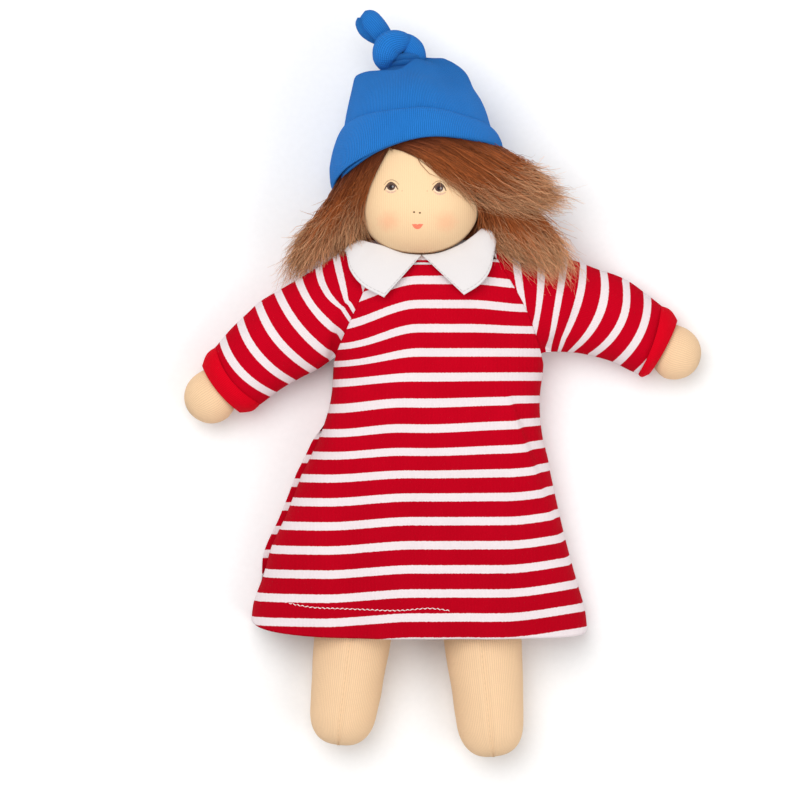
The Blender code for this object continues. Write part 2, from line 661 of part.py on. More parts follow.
def sleeve_section(side, reach, half_width, half_depth, count):
    _, _, towards_neck = arm_frame(side)
    ride = SLEEVE_RIDE * max(0.0, 1 - reach / SLEEVE_LENGTH)
    middle = arm_middle(side, reach) + towards_neck * ride
    return ring(middle, towards_neck, half_width, half_depth, count)


def raglan_ring(side, inset, count):
    """The sleeve's inner end: down the front raglan seam and up the back one."""
    sign = SIDE[side]
    shares = raglan_left_shares if side == "left" else raglan_right_shares
    points = []
    for k in range(count):
        angle = 2 * math.pi * k / count
        front = angle <= math.pi
        down = angle / math.pi if front else 2 - angle / math.pi
        share = 1 - (1 - SLEEVE_ARMPIT_SHARE) * down
        x = SPINE_X + sign * (HEM_HALF_WIDTH * along(shares, share) + SEAM_GAP)
        y = FOLD_Y + BODICE_LENGTH * share - inset * math.cos(angle)
        z = dress_z(x, share, inset, front)
        if k == 0:
            z = (dress_z(x, share, inset, True) + dress_z(x, share, inset, False)) / 2
        points.append(Vector((x, y, z)))
    return points


def make_sleeve(side):
    count = 24
    outer, inner = [], []
    for grid, inset in ((outer, 0.0), (inner, JERSEY)):
        edge = raglan_ring(side, inset, count)
        grid.append(edge)
        for share, tube in sleeve_tube_shares:
            half_width = SLEEVE_HALF_WIDTH * along(sleeve_width_shares, share) - inset
            half_depth = SLEEVE_HALF_WIDTH * SLEEVE_DEPTH_SHARE * along(sleeve_depth_shares, share) - inset
            section = sleeve_section(side, SLEEVE_LENGTH * share, half_width, half_depth, count)
            grid.append([edge[k].lerp(section[k], tube) for k in range(count)])
    loft("sleeve_" + side, outer + list(reversed(inner)), "red_jersey", looped=True)


def make_cuff(side):
    outer, inner = [], []
    for grid, inset in ((outer, 0.0), (inner, RIB)):
        for share in cuff_row_shares:
            half_width = SLEEVE_HALF_WIDTH * along(cuff_width_shares, share) - inset
            half_depth = half_width * ARM_DEPTH_SHARE
            reach = SLEEVE_LENGTH + GAP + CUFF_LENGTH * share
            grid.append(sleeve_section(side, reach, half_width, half_depth, 24))
    loft("cuff_" + side, outer + list(reversed(inner)), "red_jersey", looped=True)


# Legs

def leg_pivot(side):
    return Vector((SPINE_X + SIDE[side] * LEG_SPREAD, HIP_Y, LEG_Z))


def make_leg(side):
    length = LEG_LENGTHS[side]
    heading = Vector((math.cos(LEG_ANGLES[side]), math.sin(LEG_ANGLES[side]), 0))
    sideways = Vector((-heading.y, heading.x, 0))
    root = LEG_HALF_WIDTH * LEG_ROOT_SHARE
    stations = [(-root * math.cos(math.pi / 2 * i / 5), root * math.sin(math.pi / 2 * i / 5))
                for i in range(1, 5)]
    for share in leg_row_shares:
        stations.append((length * share, LEG_HALF_WIDTH * along(leg_width_shares, share)))
    straight = 1 - LEG_TIP_SHARE
    for i in range(0, 7):
        share = straight + LEG_TIP_SHARE * math.sin(math.pi / 2 * i / 7)
        tip = (share - straight) / LEG_TIP_SHARE
        stations.append((length * share,
                         LEG_HALF_WIDTH * along(leg_width_shares, share) * rounded(tip, LEG_TIP_POWER)))
    depth = LEG_HALF_DEPTH / LEG_HALF_WIDTH
    pivot = leg_pivot(side)
    rings = [ring(pivot + heading * reach, sideways, half, half * depth, 24) for reach, half in stations]
    loft("leg_" + side, rings, "skin", pivot - heading * root, pivot + heading * length)


# Dress

def dress_section(share, skirt):
    """Left half width, right half width, side seam height and front height at a place of the dress."""
    if skirt:
        left = HEM_HALF_WIDTH * along(skirt_left_shares, share)
        right = HEM_HALF_WIDTH * along(skirt_right_shares, share)
        seam = SEAM_Z + (HEM_SEAM_Z - SEAM_Z) * share
        top = DRESS_TOP_Z + (HEM_DEPTH - DRESS_TOP_Z) * share
    else:
        left = HEM_HALF_WIDTH * along(bodice_left_shares, share)
        right = HEM_HALF_WIDTH * along(bodice_right_shares, share)
        seam = SEAM_Z
        top = SEAM_Z + (DRESS_TOP_Z - SEAM_Z) * along(bodice_rise_shares, share)
    return left, right, seam, top


def dress_z(x, share, inset, front, skirt=False):
    """Height of the dress's front or back over a place in plan."""
    left, right, seam, top = dress_section(share, skirt)
    half = (left if x < SPINE_X else right) - inset
    level = math.sqrt(max(0.0, 1 - min(1.0, abs(x - SPINE_X) / half) ** 2))
    if front:
        return seam + GAP / 2 + (top - inset - seam) * level ** FRONT_POWER
    return max(inset, seam - GAP / 2 - (seam + FLAT_CUT - inset) * level ** BACK_POWER)


def panel(name, front, skirt, side=None):
    """A front or back panel of the dress; a back half runs from its side to the centre seam."""
    rows = 8 if skirt else 10
    lower = rows // 2
    half_gap = GAP / 2
    grids = []
    for inset in (0.0, JERSEY):
        grid = []
        for i in range(rows):
            share = i / (rows - 1)
            if not skirt and i < lower:
                share = ARMPIT_SHARE * i / (lower - 1)
            elif not skirt:
                share = ARMPIT_SHARE + (1 - ARMPIT_SHARE) * (i - lower + 1) / (rows - lower)
            left, right, seam, _ = dress_section(share, skirt)
            left_edge, right_edge = left - inset, right - inset
            if not skirt:
                left_edge = min(left_edge, raglan_edge("left", share))
                right_edge = min(right_edge, raglan_edge("right", share))
            first, last = -1.0, 1.0
            if side == "left":
                last = 0.0
            elif side == "right":
                first = 0.0
            steps = PANEL_STEPS if side is None else PANEL_STEPS // 2
            line = []
            for j in range(steps + 1):
                across = first + (last - first) * j / steps
                edge = left_edge if across < 0 or (across == 0 and side == "left") else right_edge
                full = (left if edge == left_edge else right) - inset
                to_seam = edge > full * SIDE_SEAM_SHARE
                x = SPINE_X + edge * (math.sin(across * math.pi / 2) if to_seam else across)
                if side == "left" and j == steps:
                    x = SPINE_X - half_gap
                if side == "right" and j == 0:
                    x = SPINE_X + half_gap
                z = dress_z(x, share, inset, front, skirt)
                if skirt:
                    y = FOLD_Y - half_gap - share * (SKIRT_LENGTH - HEM_LIFT * abs(across) ** 3 * share)
                    if front:
                        z += FOLD_WAVE * share * math.cos(across * FOLD_TURNS) * (1 - across ** 2)
                else:
                    y = FOLD_Y + half_gap + share * BODICE_LENGTH
                line.append(Vector((x, y, z)))
            grid.append(line)
        grids.append(grid)
    sheet(name, grids[0], grids[1], "red_jersey")


def raglan_edge(side, share):
    shares = raglan_left_shares if side == "left" else raglan_right_shares
    if share <= shares[0][0]:
        return 1.0
    return HEM_HALF_WIDTH * along(shares, share)


def make_dress():
    panel("bodice_front", True, False)
    panel("bodice_back_left", False, False, "left")
    panel("bodice_back_right", False, False, "right")
    panel("skirt_front", True, True)
    panel("skirt_back", False, True)


def make_tape():
    """The closing tape inside the back opening, between the trunk and the two back halves."""
    rows = []
    top = TRUNK_TOP - TAPE_TOP
    low = JERSEY + GAP
    for level in (low + TAPE_THICKNESS, low):
        grid = []
        for i in range(4):
            y = top - TAPE_LENGTH * i / 3
            grid.append([Vector((SPINE_X - TAPE_WIDTH / 2 + TAPE_WIDTH * j / 2, y, level)) for j in range(3)])
        rows.append(grid)
    sheet("back_tape", rows[0], rows[1], "white_cotton")


def make_binding():
    """The neckline's binding, a flat ring over the trunk's top."""
    base = FOLD_Y + BODICE_LENGTH + GAP * 2
    hole = NECK_RADIUS + 2 * TIE_RADIUS + EASE
    outside = (TRUNK_WIDTH * binding_shares[0], TRUNK_DEPTH * binding_shares[1])
    inside = (hole, hole)
    rings = []
    for rise, (half_width, half_depth) in ((0, outside), (BINDING_THICKNESS, outside),
                                           (BINDING_THICKNESS, inside), (0, inside)):
        place = Vector((SPINE_X, base + rise, NECK.z))
        rings.append(ring(place, Vector((1, 0, 0)), half_width, half_depth))
    loft("neck_binding", rings, "white_cotton", looped=True)


# Collar: rows from the centre front round to the centre back. Sideways places are in half trunk widths from
# the centre line, lengths along the doll in trunk lengths from its top, heights in trunk depths from the
# trunk's middle.
collar_inner_shares = ((-0.010, 0.050, 0.535), (0.24, 0.056, 0.530), (0.50, 0.085, 0.44), (0.72, 0.125, 0.30),
                       (0.74, 0.130, 0.08), (0.60, 0.110, -0.26), (0.30, 0.085, -0.44), (0.012, 0.075, -0.46))
collar_outer_shares = ((0.44, -0.135, 0.580), (0.62, -0.075, 0.570), (0.80, 0.000, 0.500), (0.90, 0.060, 0.350),
                       (0.92, 0.080, 0.08), (0.78, 0.030, -0.30), (0.42, -0.040, -0.47), (0.012, -0.060, -0.49))


def make_collar(side):
    rows, columns = 15, 5
    places = len(collar_inner_shares) - 1

    def edge(table, place):
        parts = [along([(k, entry[axis]) for k, entry in enumerate(table)], place) for axis in range(3)]
        return Vector((SPINE_X + SIDE[side] * TRUNK_WIDTH / 2 * max(parts[0], GAP / TRUNK_WIDTH),
                       TRUNK_TOP + TRUNK_LENGTH * parts[1], TRUNK_Z + TRUNK_DEPTH * parts[2]))

    middle, surface = Vector((SPINE_X, TRUNK_TOP - TRUNK_LENGTH, TRUNK_Z)), []
    for i in range(rows):
        place = places * i / (rows - 1)
        inner, outer = edge(collar_inner_shares, place), edge(collar_outer_shares, place)
        surface.append([inner.lerp(outer, j / (columns - 1)) for j in range(columns)])
    tops, floors = [], []
    for i in range(rows):
        top_row = []
        for j in range(columns):
            i0, i1 = max(0, i - 1), min(rows - 1, i + 1)
            j0, j1 = max(0, j - 1), min(columns - 1, j + 1)
            normal = (surface[i1][j] - surface[i0][j]).cross(surface[i][j1] - surface[i][j0]).normalized()
            if normal.dot(surface[i][j] - middle) < 0:
                normal = -normal
            normal.x = 0 if i in (0, rows - 1) else normal.x
            top_row.append(surface[i][j] + normal.normalized() * COLLAR_THICKNESS)
        tops.append(top_row)
        floors.append(surface[i])
    sheet("collar_" + side, tops, floors, "white_cotton")


def main():
    for old in list(bpy.data.objects):
        bpy.data.objects.remove(old)
    make_trunk()
    make_seat()
    make_neck()
    make_head()
    make_face()
    make_hair_cap()
    make_hair_back()
    make_hat_crown()
    make_hat_cuff()
    make_knot_and_tail()
    make_dress()
    make_tape()
    make_binding()
    for side in SIDE:
        make_lock(side)
        make_arm(side)
        make_sleeve(side)
        make_cuff(side)
        make_leg(side)
        make_collar(side)


main()
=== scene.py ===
import math

import bmesh
import bpy
import numpy as np
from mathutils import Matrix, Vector, noise


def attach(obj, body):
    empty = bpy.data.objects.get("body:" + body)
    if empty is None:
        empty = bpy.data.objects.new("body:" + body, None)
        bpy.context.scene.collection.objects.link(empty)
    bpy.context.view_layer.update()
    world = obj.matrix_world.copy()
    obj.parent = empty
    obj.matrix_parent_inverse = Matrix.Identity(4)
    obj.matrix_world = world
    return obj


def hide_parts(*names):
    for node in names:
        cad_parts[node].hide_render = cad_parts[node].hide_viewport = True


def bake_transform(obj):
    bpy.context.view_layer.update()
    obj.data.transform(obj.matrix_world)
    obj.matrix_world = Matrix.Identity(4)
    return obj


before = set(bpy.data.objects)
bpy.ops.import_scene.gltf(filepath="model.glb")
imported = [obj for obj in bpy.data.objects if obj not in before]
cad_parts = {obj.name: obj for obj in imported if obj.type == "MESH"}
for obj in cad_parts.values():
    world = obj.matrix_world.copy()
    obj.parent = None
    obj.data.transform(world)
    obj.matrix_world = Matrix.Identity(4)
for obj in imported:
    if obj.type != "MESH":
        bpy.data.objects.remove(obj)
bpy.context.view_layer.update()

print("frame loaded")

# The view: an 800-pixel square seen from straight above. +Y is up in the picture.
view = {
    "x": -0.0224,
    "y": -0.0090,
    "height": 2.60,
    "plane": 0.030,        # height at which the frame is frameWidth across
    "frameWidth": 0.448,
    "pixels": 800,
}
pixelSize = view["frameWidth"] / view["pixels"]
middlePixel = view["pixels"] / 2


def overPlan(px, py, z):
    # the place at height z that shows at a pixel
    scale = pixelSize * (view["height"] - z) / (view["height"] - view["plane"])
    return view["x"] + (px - middlePixel) * scale, view["y"] - (py - middlePixel) * scale


# Sizes that several pieces share, in metres
doll = {
    "spineX": -0.0115,
    "foldY": -0.0500,
    "chestLean": 0.0075,
    "trunkTop": 0.0640,
    "trunkZ": 0.0267,
    "dressTopZ": 0.0518,
    "gap": 0.0003,
    "jersey": 0.0015,
    "rib": 0.0018,
}
side = {"left": -1, "right": 1}


# Shapes: every piece is a grid of points, rows by columns by 3

def curveAt(table, place):
    # smooth curve through a table of (place, value), for one place or an array of them
    xs = np.array([pair[0] for pair in table], float)
    ys = np.array([pair[1] for pair in table], float)
    place = np.clip(np.asarray(place, float), xs[0], xs[-1])
    i = np.clip(np.searchsorted(xs, place, side="right") - 1, 0, len(xs) - 2)
    before, after = np.maximum(i - 1, 0), np.minimum(i + 2, len(xs) - 1)
    slope0 = (ys[i + 1] - ys[before]) / (xs[i + 1] - xs[before])
    slope1 = (ys[after] - ys[i]) / (xs[after] - xs[i])
    step = xs[i + 1] - xs[i]
    t = (place - xs[i]) / step
    return (ys[i] * (2 * t ** 3 - 3 * t ** 2 + 1) + slope0 * step * (t ** 3 - 2 * t ** 2 + t)
            + ys[i + 1] * (3 * t ** 2 - 2 * t ** 3) + slope1 * step * (t ** 3 - t ** 2))


def smoothStep(low, high, value):
    t = np.clip((value - low) / (high - low), 0, 1)
    return t * t * (3 - 2 * t)


def bump(x, y, cx, cy, rx, ry, turn=0.0):
    # soft hill of height 1 round a place, longer along a direction
    c, s = math.cos(turn), math.sin(turn)
    u, v = (x - cx) * c + (y - cy) * s, -(x - cx) * s + (y - cy) * c
    return np.exp(-(u / rx) ** 2 - (v / ry) ** 2)


def ripple(points, size, seed=0.0):
    # smooth noise from -1 to 1 at each point of a grid
    flat = points.reshape(-1, 3)
    shift = Vector((seed * 7.3, seed * 3.1, seed * 5.7))
    found = [noise.noise(Vector(p) / size + shift) for p in flat.tolist()]
    return np.array(found).reshape(points.shape[:-1])


def normalsOf(grid, closed):
    rows = np.gradient(grid, axis=0)
    if closed:
        columns = (np.roll(grid, -1, axis=1) - np.roll(grid, 1, axis=1)) / 2
    else:
        columns = np.gradient(grid, axis=1)
    found = np.cross(rows, columns)
    return found / np.maximum(np.linalg.norm(found, axis=2, keepdims=True), 1e-12)


def outwardOf(grid, closed, middle=None):
    # normals that point away from the middle
    found = normalsOf(grid, closed)
    if middle is None:
        middle = grid.reshape(-1, 3).mean(axis=0)
    return -found if (found * (grid - middle)).sum() < 0 else found


def finishMesh(name, points, faces, corners, finish):
    # corners is the cloth map, in metres, one pair for each corner of each face
    mesh = bpy.data.meshes.new(name)
    mesh.from_pydata(points, [], faces)
    layer = mesh.uv_layers.new(name="clothMap")
    layer.uv.foreach_set("vector", np.asarray(corners, np.float32).ravel())
    shape = bmesh.new()
    shape.from_mesh(mesh)
    bmesh.ops.recalc_face_normals(shape, faces=shape.faces)
    shape.to_mesh(mesh)
    shape.free()
    mesh.materials.append(finish)
    mesh.shade_smooth()
    made = bpy.data.objects.new(name, mesh)
    bpy.context.scene.collection.objects.link(made)
    return made


def quadsOf(rows, columns, closed, base=0, flip=False):
    faces, corners = [], []
    for i in range(rows - 1):
        for j in range(columns if closed else columns - 1):
            k = (j + 1) % columns
            face = (base + i * columns + j, base + i * columns + k, base + (i + 1) * columns + k,
                    base + (i + 1) * columns + j)
            corner = ((i, j), (i, j + 1), (i + 1, j + 1), (i + 1, j))
            faces.append(face[::-1] if flip else face)
            corners.append(corner[::-1] if flip else corner)
    return faces, corners


def solidBody(name, grid, uv, finish):
    # a closed tube of rings, its two ends filled
    rows, columns = grid.shape[:2]
    faces, corners = quadsOf(rows, columns, True)
    places = [uv[i][j] for corner in corners for i, j in corner]
    for row in (0, rows - 1):
        faces.append(tuple(row * columns + j for j in range(columns)))
        places += [uv[row][j] for j in range(columns)]
    return finishMesh(name, grid.reshape(-1, 3).tolist(), faces, places, finish)


def clothSheet(name, outer, thickness, uv, finish, closed=False):
    # cloth of a real thickness: the outer grid, an inner one under it, and its cut edges
    inner = outer - outwardOf(outer, closed) * thickness
    inner[..., 2] = np.maximum(inner[..., 2], 0.0002)
    return doubleSheet(name, outer, inner, uv, finish, closed)


def doubleSheet(name, outer, inner, uv, finish, closed=False):
    # two grids joined by their cut edges
    rows, columns = outer.shape[:2]
    below = rows * columns
    faces, corners = quadsOf(rows, columns, closed)
    under, underCorners = quadsOf(rows, columns, closed, below, True)
    faces, corners = faces + under, corners + underCorners
    for row, end in ((0, False), (rows - 1, True)):
        start = row * columns
        for j in range(columns if closed else columns - 1):
            k = (j + 1) % columns
            face = (start + j, start + k, below + start + k, below + start + j)
            corner = ((row, j), (row, j + 1), (row, j + 1), (row, j))
            faces.append(face if end else face[::-1])
            corners.append(corner if end else corner[::-1])
    if not closed:
        for j, end in ((0, True), (columns - 1, False)):
            for i in range(rows - 1):
                face = (i * columns + j, (i + 1) * columns + j, below + (i + 1) * columns + j,
                        below + i * columns + j)
                corner = ((i, j), (i + 1, j), (i + 1, j), (i, j))
                faces.append(face if end else face[::-1])
                corners.append(corner if end else corner[::-1])
    points = np.concatenate([outer.reshape(-1, 3), inner.reshape(-1, 3)])
    places = [uv[i][j] for corner in corners for i, j in corner]
    return finishMesh(name, points.tolist(), faces, places, finish)


def ringPoints(centre, sideways, halfWidth, halfDepth, count, power=2.0):
    # section across a body; angle 0 points sideways and a quarter turn on points up
    angle = 2 * np.pi * np.arange(count) / count
    c, s = np.cos(angle), np.sin(angle)
    across = halfWidth * np.sign(c) * np.abs(c) ** (2 / power)
    rise = halfDepth * np.sign(s) * np.abs(s) ** (2 / power)
    return np.asarray(centre) + np.outer(across, sideways) + np.outer(rise, (0, 0, 1))


def threadLoop(name, path, radius, finish, sides=8):
    # a closed loop of thread along a path of points
    count = len(path)
    heading = np.roll(path, -1, axis=0) - np.roll(path, 1, axis=0)
    heading /= np.maximum(np.linalg.norm(heading, axis=1, keepdims=True), 1e-12)
    across = np.cross(heading, (0.0, 0.0, 1.0))
    weak = np.linalg.norm(across, axis=1) < 0.05
    across[weak] = np.cross(heading[weak], (1.0, 0.0, 0.0))
    across /= np.linalg.norm(across, axis=1, keepdims=True)
    over = np.cross(across, heading)
    angle = 2 * np.pi * np.arange(sides) / sides
    grid = path[:, None] + (across[:, None] * np.cos(angle)[None, :, None]
                            + over[:, None] * np.sin(angle)[None, :, None]) * radius
    run = np.concatenate([[0], np.cumsum(np.linalg.norm(np.diff(path, axis=0), axis=1))])
    uv = np.stack(np.meshgrid(run, np.arange(sides + 1) / sides, indexing="ij"), axis=2)
    uv = np.concatenate([uv, uv[-1:]])
    faces, corners = quadsOf(count + 1, sides, True)
    faces = [tuple(i % (count * sides) for i in face) for face in faces]
    places = [uv[i][j] for corner in corners for i, j in corner]
    return finishMesh(name, grid.reshape(-1, 3).tolist(), faces, places, finish)


def joinPieces(name, parts):
    # several meshes become one piece and keep their own finishes
    first = parts[0]
    with bpy.context.temp_override(active_object=first, selected_editable_objects=parts, object=first):
        bpy.ops.object.join()
    first.name = name
    first.data.name = name
    return first


# Finishes: groups first, each built once

def newGroup(name, inputs, outputs):
    group = bpy.data.node_groups.new(name, "ShaderNodeTree")
    for label, kind, value in inputs:
        socket = group.interface.new_socket(name=label, in_out="INPUT", socket_type=kind)
        if value is not None:
            socket.default_value = value
    for label, kind in outputs:
        group.interface.new_socket(name=label, in_out="OUTPUT", socket_type=kind)
    return group, group.nodes.new("NodeGroupInput"), group.nodes.new("NodeGroupOutput")


class Nodes:
    # short calls for one node tree
    def __init__(self, tree):
        self.tree = tree

    def add(self, kind, **settings):
        node = self.tree.nodes.new(kind)
        for key, value in settings.items():
            setattr(node, key, value)
        return node

    def put(self, socket, value):
        if isinstance(value, bpy.types.NodeSocket):
            self.tree.links.new(value, socket)
        elif value is not None:
            socket.default_value = value

    def math(self, operation, *values):
        node = self.add("ShaderNodeMath", operation=operation)
        for socket, value in zip(node.inputs, values):
            self.put(socket, value)
        return node.outputs[0]

    def mix(self, factor, first, second, blend="MIX"):
        node = self.add("ShaderNodeMix", data_type="RGBA", blend_type=blend)
        self.put(node.inputs[0], factor)
        self.put(node.inputs[6], first)
        self.put(node.inputs[7], second)
        return node.outputs[2]

    def remap(self, value, low, high, toLow=0.0, toHigh=1.0, smooth=True):
        node = self.add("ShaderNodeMapRange", interpolation_type="SMOOTHSTEP" if smooth else "LINEAR")
        for socket, setting in zip(node.inputs, (value, low, high, toLow, toHigh)):
            self.put(socket, setting)
        return node.outputs[0]

    def noise(self, vector, scale, detail=2.0, roughness=0.5):
        node = self.add("ShaderNodeTexNoise")
        self.put(node.inputs["Vector"], vector)
        node.inputs["Scale"].default_value = scale
        node.inputs["Detail"].default_value = detail
        node.inputs["Roughness"].default_value = roughness
        return node.outputs["Fac"]

    def split(self, vector):
        node = self.add("ShaderNodeSeparateXYZ")
        self.put(node.inputs[0], vector)
        return node.outputs

    def join(self, x, y, z=0.0):
        node = self.add("ShaderNodeCombineXYZ")
        for socket, value in zip(node.inputs, (x, y, z)):
            self.put(socket, value)
        return node.outputs[0]

    def group(self, group, **values):
        node = self.add("ShaderNodeGroup")
        node.node_tree = group
        for label, value in values.items():
            self.put(node.inputs[label], value)
        return node.outputs


def buildKnit():
    # Knitted columns of stitches. Map is in metres; Column and Row are a stitch's width and height. GrooveShade is 1
    # in the grooves between the columns, a mask for painted shade.
    group, inside, outside = newGroup(
        "knitStitches",
        [("Map", "NodeSocketVector", None), ("Column", "NodeSocketFloat", 0.0009),
         ("Row", "NodeSocketFloat", 0.0008), ("Uneven", "NodeSocketFloat", 0.3)],
        [("Height", "NodeSocketFloat"), ("GrooveShade", "NodeSocketFloat")])
    n = Nodes(group)
    x, y, _ = n.split(inside.outputs["Map"])
    wobble = n.noise(inside.outputs["Map"], 260.0, 1.0)
    shift = n.math("MULTIPLY", n.math("SUBTRACT", wobble, 0.5), inside.outputs["Uneven"])
    across = n.math("ADD", n.math("DIVIDE", x, inside.outputs["Column"]), shift)
    lift = n.math("COSINE", n.math("MULTIPLY", across, 2 * math.pi))
    lean = n.math("MULTIPLY", n.math("ABSOLUTE", n.math("SINE", n.math("MULTIPLY", across, math.pi))), 0.5)
    up = n.math("ADD", n.math("DIVIDE", y, inside.outputs["Row"]), lean)
    stitch = n.math("COSINE", n.math("MULTIPLY", up, 2 * math.pi))
    height = n.math("ADD", n.math("MULTIPLY", lift, 0.34), n.math("MULTIPLY", stitch, 0.16))
    n.put(outside.inputs["Height"], n.math("ADD", height, 0.5))
    n.put(outside.inputs["GrooveShade"], n.remap(lift, -1.0, -0.2, 1.0, 0.0))
    return group


def buildTone():
    # Slow and fine changes of tone that dyed cloth shows
    group, inside, outside = newGroup(
        "clothTone",
        [("Map", "NodeSocketVector", None), ("Slow", "NodeSocketFloat", 0.5),
         ("Fine", "NodeSocketFloat", 0.5)],
        [("Tone", "NodeSocketFloat"), ("Fuzz", "NodeSocketFloat")])
    n = Nodes(group)
    slow = n.math("MULTIPLY", n.math("SUBTRACT", n.noise(inside.outputs["Map"], 38.0, 3.0), 0.5),
                  inside.outputs["Slow"])
    fuzz = n.noise(inside.outputs["Map"], 1500.0, 2.0, 0.7)
    fine = n.math("MULTIPLY", n.math("SUBTRACT", fuzz, 0.5), inside.outputs["Fine"])
    n.put(outside.inputs["Tone"], n.math("ADD", n.math("ADD", slow, fine), 0.5))
    n.put(outside.inputs["Fuzz"], fuzz)
    return group


def buildStripes():
    # Woven-in cross stripes: Map's y in metres, a stripe every Pitch, with fuzzy edges
    group, inside, outside = newGroup(
        "crossStripes",
        [("Map", "NodeSocketVector", None), ("Pitch", "NodeSocketFloat", 0.0134),
         ("Width", "NodeSocketFloat", 0.0046)],
        [("Stripe", "NodeSocketFloat")])
    n = Nodes(group)
    _, y, _ = n.split(inside.outputs["Map"])
    rough = n.math("MULTIPLY", n.math("SUBTRACT", n.noise(inside.outputs["Map"], 900.0, 1.0), 0.5), 0.0005)
    place = n.math("DIVIDE", n.math("ADD", y, rough), inside.outputs["Pitch"])
    off = n.math("ABSOLUTE", n.math("SUBTRACT", n.math("FRACT", n.math("ADD", place, 0.5)), 0.5))
    off = n.math("MULTIPLY", off, inside.outputs["Pitch"])
    half = n.math("DIVIDE", inside.outputs["Width"], 2.0)
    edge = n.math("SUBTRACT", off, half)
    n.put(outside.inputs["Stripe"], n.remap(edge, -0.00016, 0.00016, 1.0, 0.0))
    return group


knitStitches = buildKnit()
clothTone = buildTone()
crossStripes = buildStripes()


def newFinish(name, **values):
    made = bpy.data.materials.new(name)
    made.use_nodes = True
    shader = made.node_tree.nodes["Principled BSDF"]
    for label, value in values.items():
        shader.inputs[label.replace("_", " ")].default_value = value
    return made, Nodes(made.node_tree), shader


def clothMapNode(n):
    return n.add("ShaderNodeUVMap", uv_map="clothMap").outputs[0]


def bumpOf(n, shader, height, distance):
    node = n.add("ShaderNodeBump")
    node.inputs["Distance"].default_value = distance
    n.put(node.inputs["Height"], height)
    n.put(shader.inputs["Normal"], node.outputs[0])


def knitFinish(name, dark, light, column, row, depth, sheen, slow, fine, groove=0.32):
    made, n, shader = newFinish(name, Roughness=0.88, Sheen_Weight=sheen, Sheen_Roughness=0.45,
                                Specular_IOR_Level=0.05)
    cloth = clothMapNode(n)
    knit = n.group(knitStitches, Map=cloth, Column=column, Row=row)
    tone = n.group(clothTone, Map=cloth, Slow=slow, Fine=fine)
    body = n.mix(tone["Tone"], (*dark, 1), (*light, 1))
    # painted shade: the grooves between the stitch columns are darkened, by the share groove, towards 0.55 of the dark
    # colour
    body = n.mix(n.math("MULTIPLY", knit["GrooveShade"], groove), body, (*[c * 0.55 for c in dark], 1))
    n.put(shader.inputs["Base Color"], body)
    height = n.math("ADD", knit["Height"], n.math("MULTIPLY", tone["Fuzz"], 0.5))
    bumpOf(n, shader, height, depth)
    return made


def stripedFinish(name):
    look = {"redDark": (0.44, 0.0004, 0.008), "redLight": (0.66, 0.0008, 0.017),
            "whiteDark": (0.78, 0.66, 0.68), "whiteLight": (0.92, 0.84, 0.85)}
    made, n, shader = newFinish(name, Roughness=0.95, Specular_IOR_Level=0.04)
    cloth = clothMapNode(n)
    knit = n.group(knitStitches, Map=cloth, Column=0.00085, Row=0.00075)
    tone = n.group(clothTone, Map=cloth, Slow=0.5, Fine=0.5)
    stripe = n.group(crossStripes, Map=cloth)["Stripe"]
    red = n.mix(tone["Tone"], (*look["redDark"], 1), (*look["redLight"], 1))
    # painted shade: the knit's grooves are darkened in the red
    red = n.mix(n.math("MULTIPLY", knit["GrooveShade"], 0.20), red, (0.25, 0.0005, 0.006, 1))
    # painted shade: the red is darkened a little towards the hem
    fade = n.remap(n.split(n.add("ShaderNodeTexCoord").outputs["Object"])[1], -0.13, 0.05, 0.85, 1.0)
    red = n.mix(1.0, red, n.join(fade, fade, fade), "MULTIPLY")
    white = n.mix(tone["Tone"], (*look["whiteDark"], 1), (*look["whiteLight"], 1))
    # painted shade: the knit's grooves are darkened in the white
    white = n.mix(n.math("MULTIPLY", knit["GrooveShade"], 0.15), white, (0.62, 0.45, 0.46, 1))
    n.put(shader.inputs["Base Color"], n.mix(stripe, red, white))
    height = n.math("ADD", knit["Height"], n.math("MULTIPLY", tone["Fuzz"], 0.6))
    height = n.math("ADD", height, n.math("MULTIPLY", stripe, 0.25))
    bumpOf(n, shader, height, 0.00022)
    return made


def woolFinish(name, root, middle, tip):
    # The map's x is a strand's tone, partly random and partly painted shade, and its y runs from root 0 to tip 1; the
    # dark root colour is painted shade under the brim and between the strands
    made, n, shader = newFinish(name, Roughness=0.60, Specular_IOR_Level=0.18)
    tone, place, _ = n.split(n.add("ShaderNodeUVMap", uv_map="OFBake").outputs[0])
    low = n.mix(n.remap(place, 0.05, 0.58), (*root, 1), (*middle, 1))
    body = n.mix(n.remap(place, 0.62, 1.02), low, (*tip, 1))
    bright = n.remap(tone, 0.0, 1.0, 0.45, 1.55, smooth=False)
    toneAndShade = n.join(bright, bright, bright)
    n.put(shader.inputs["Base Color"], n.mix(1.0, body, toneAndShade, "MULTIPLY"))
    grain = n.noise(n.join(n.math("MULTIPLY", tone, 90.0), n.math("MULTIPLY", place, 24.0)), 3.0, 2.0)
    n.put(shader.inputs["Roughness"], n.remap(grain, 0.2, 0.8, 0.45, 0.70))
    return made


def paintFinish(name, colour, edge):
    # pencil and paint on jersey: its tone is uneven and the knit's relief shows through
    made, n, shader = newFinish(name, Roughness=0.75, Specular_IOR_Level=0.2)
    cloth = clothMapNode(n)
    knit = n.group(knitStitches, Map=cloth, Column=0.00062, Row=0.0006)
    tone = n.group(clothTone, Map=cloth, Slow=0.4, Fine=1.2)
    body = n.mix(n.remap(tone["Tone"], 0.25, 0.8), (*colour, 1), (*edge, 1))
    n.put(shader.inputs["Base Color"], body)
    bumpOf(n, shader, knit["Height"], 0.00008)
    return made


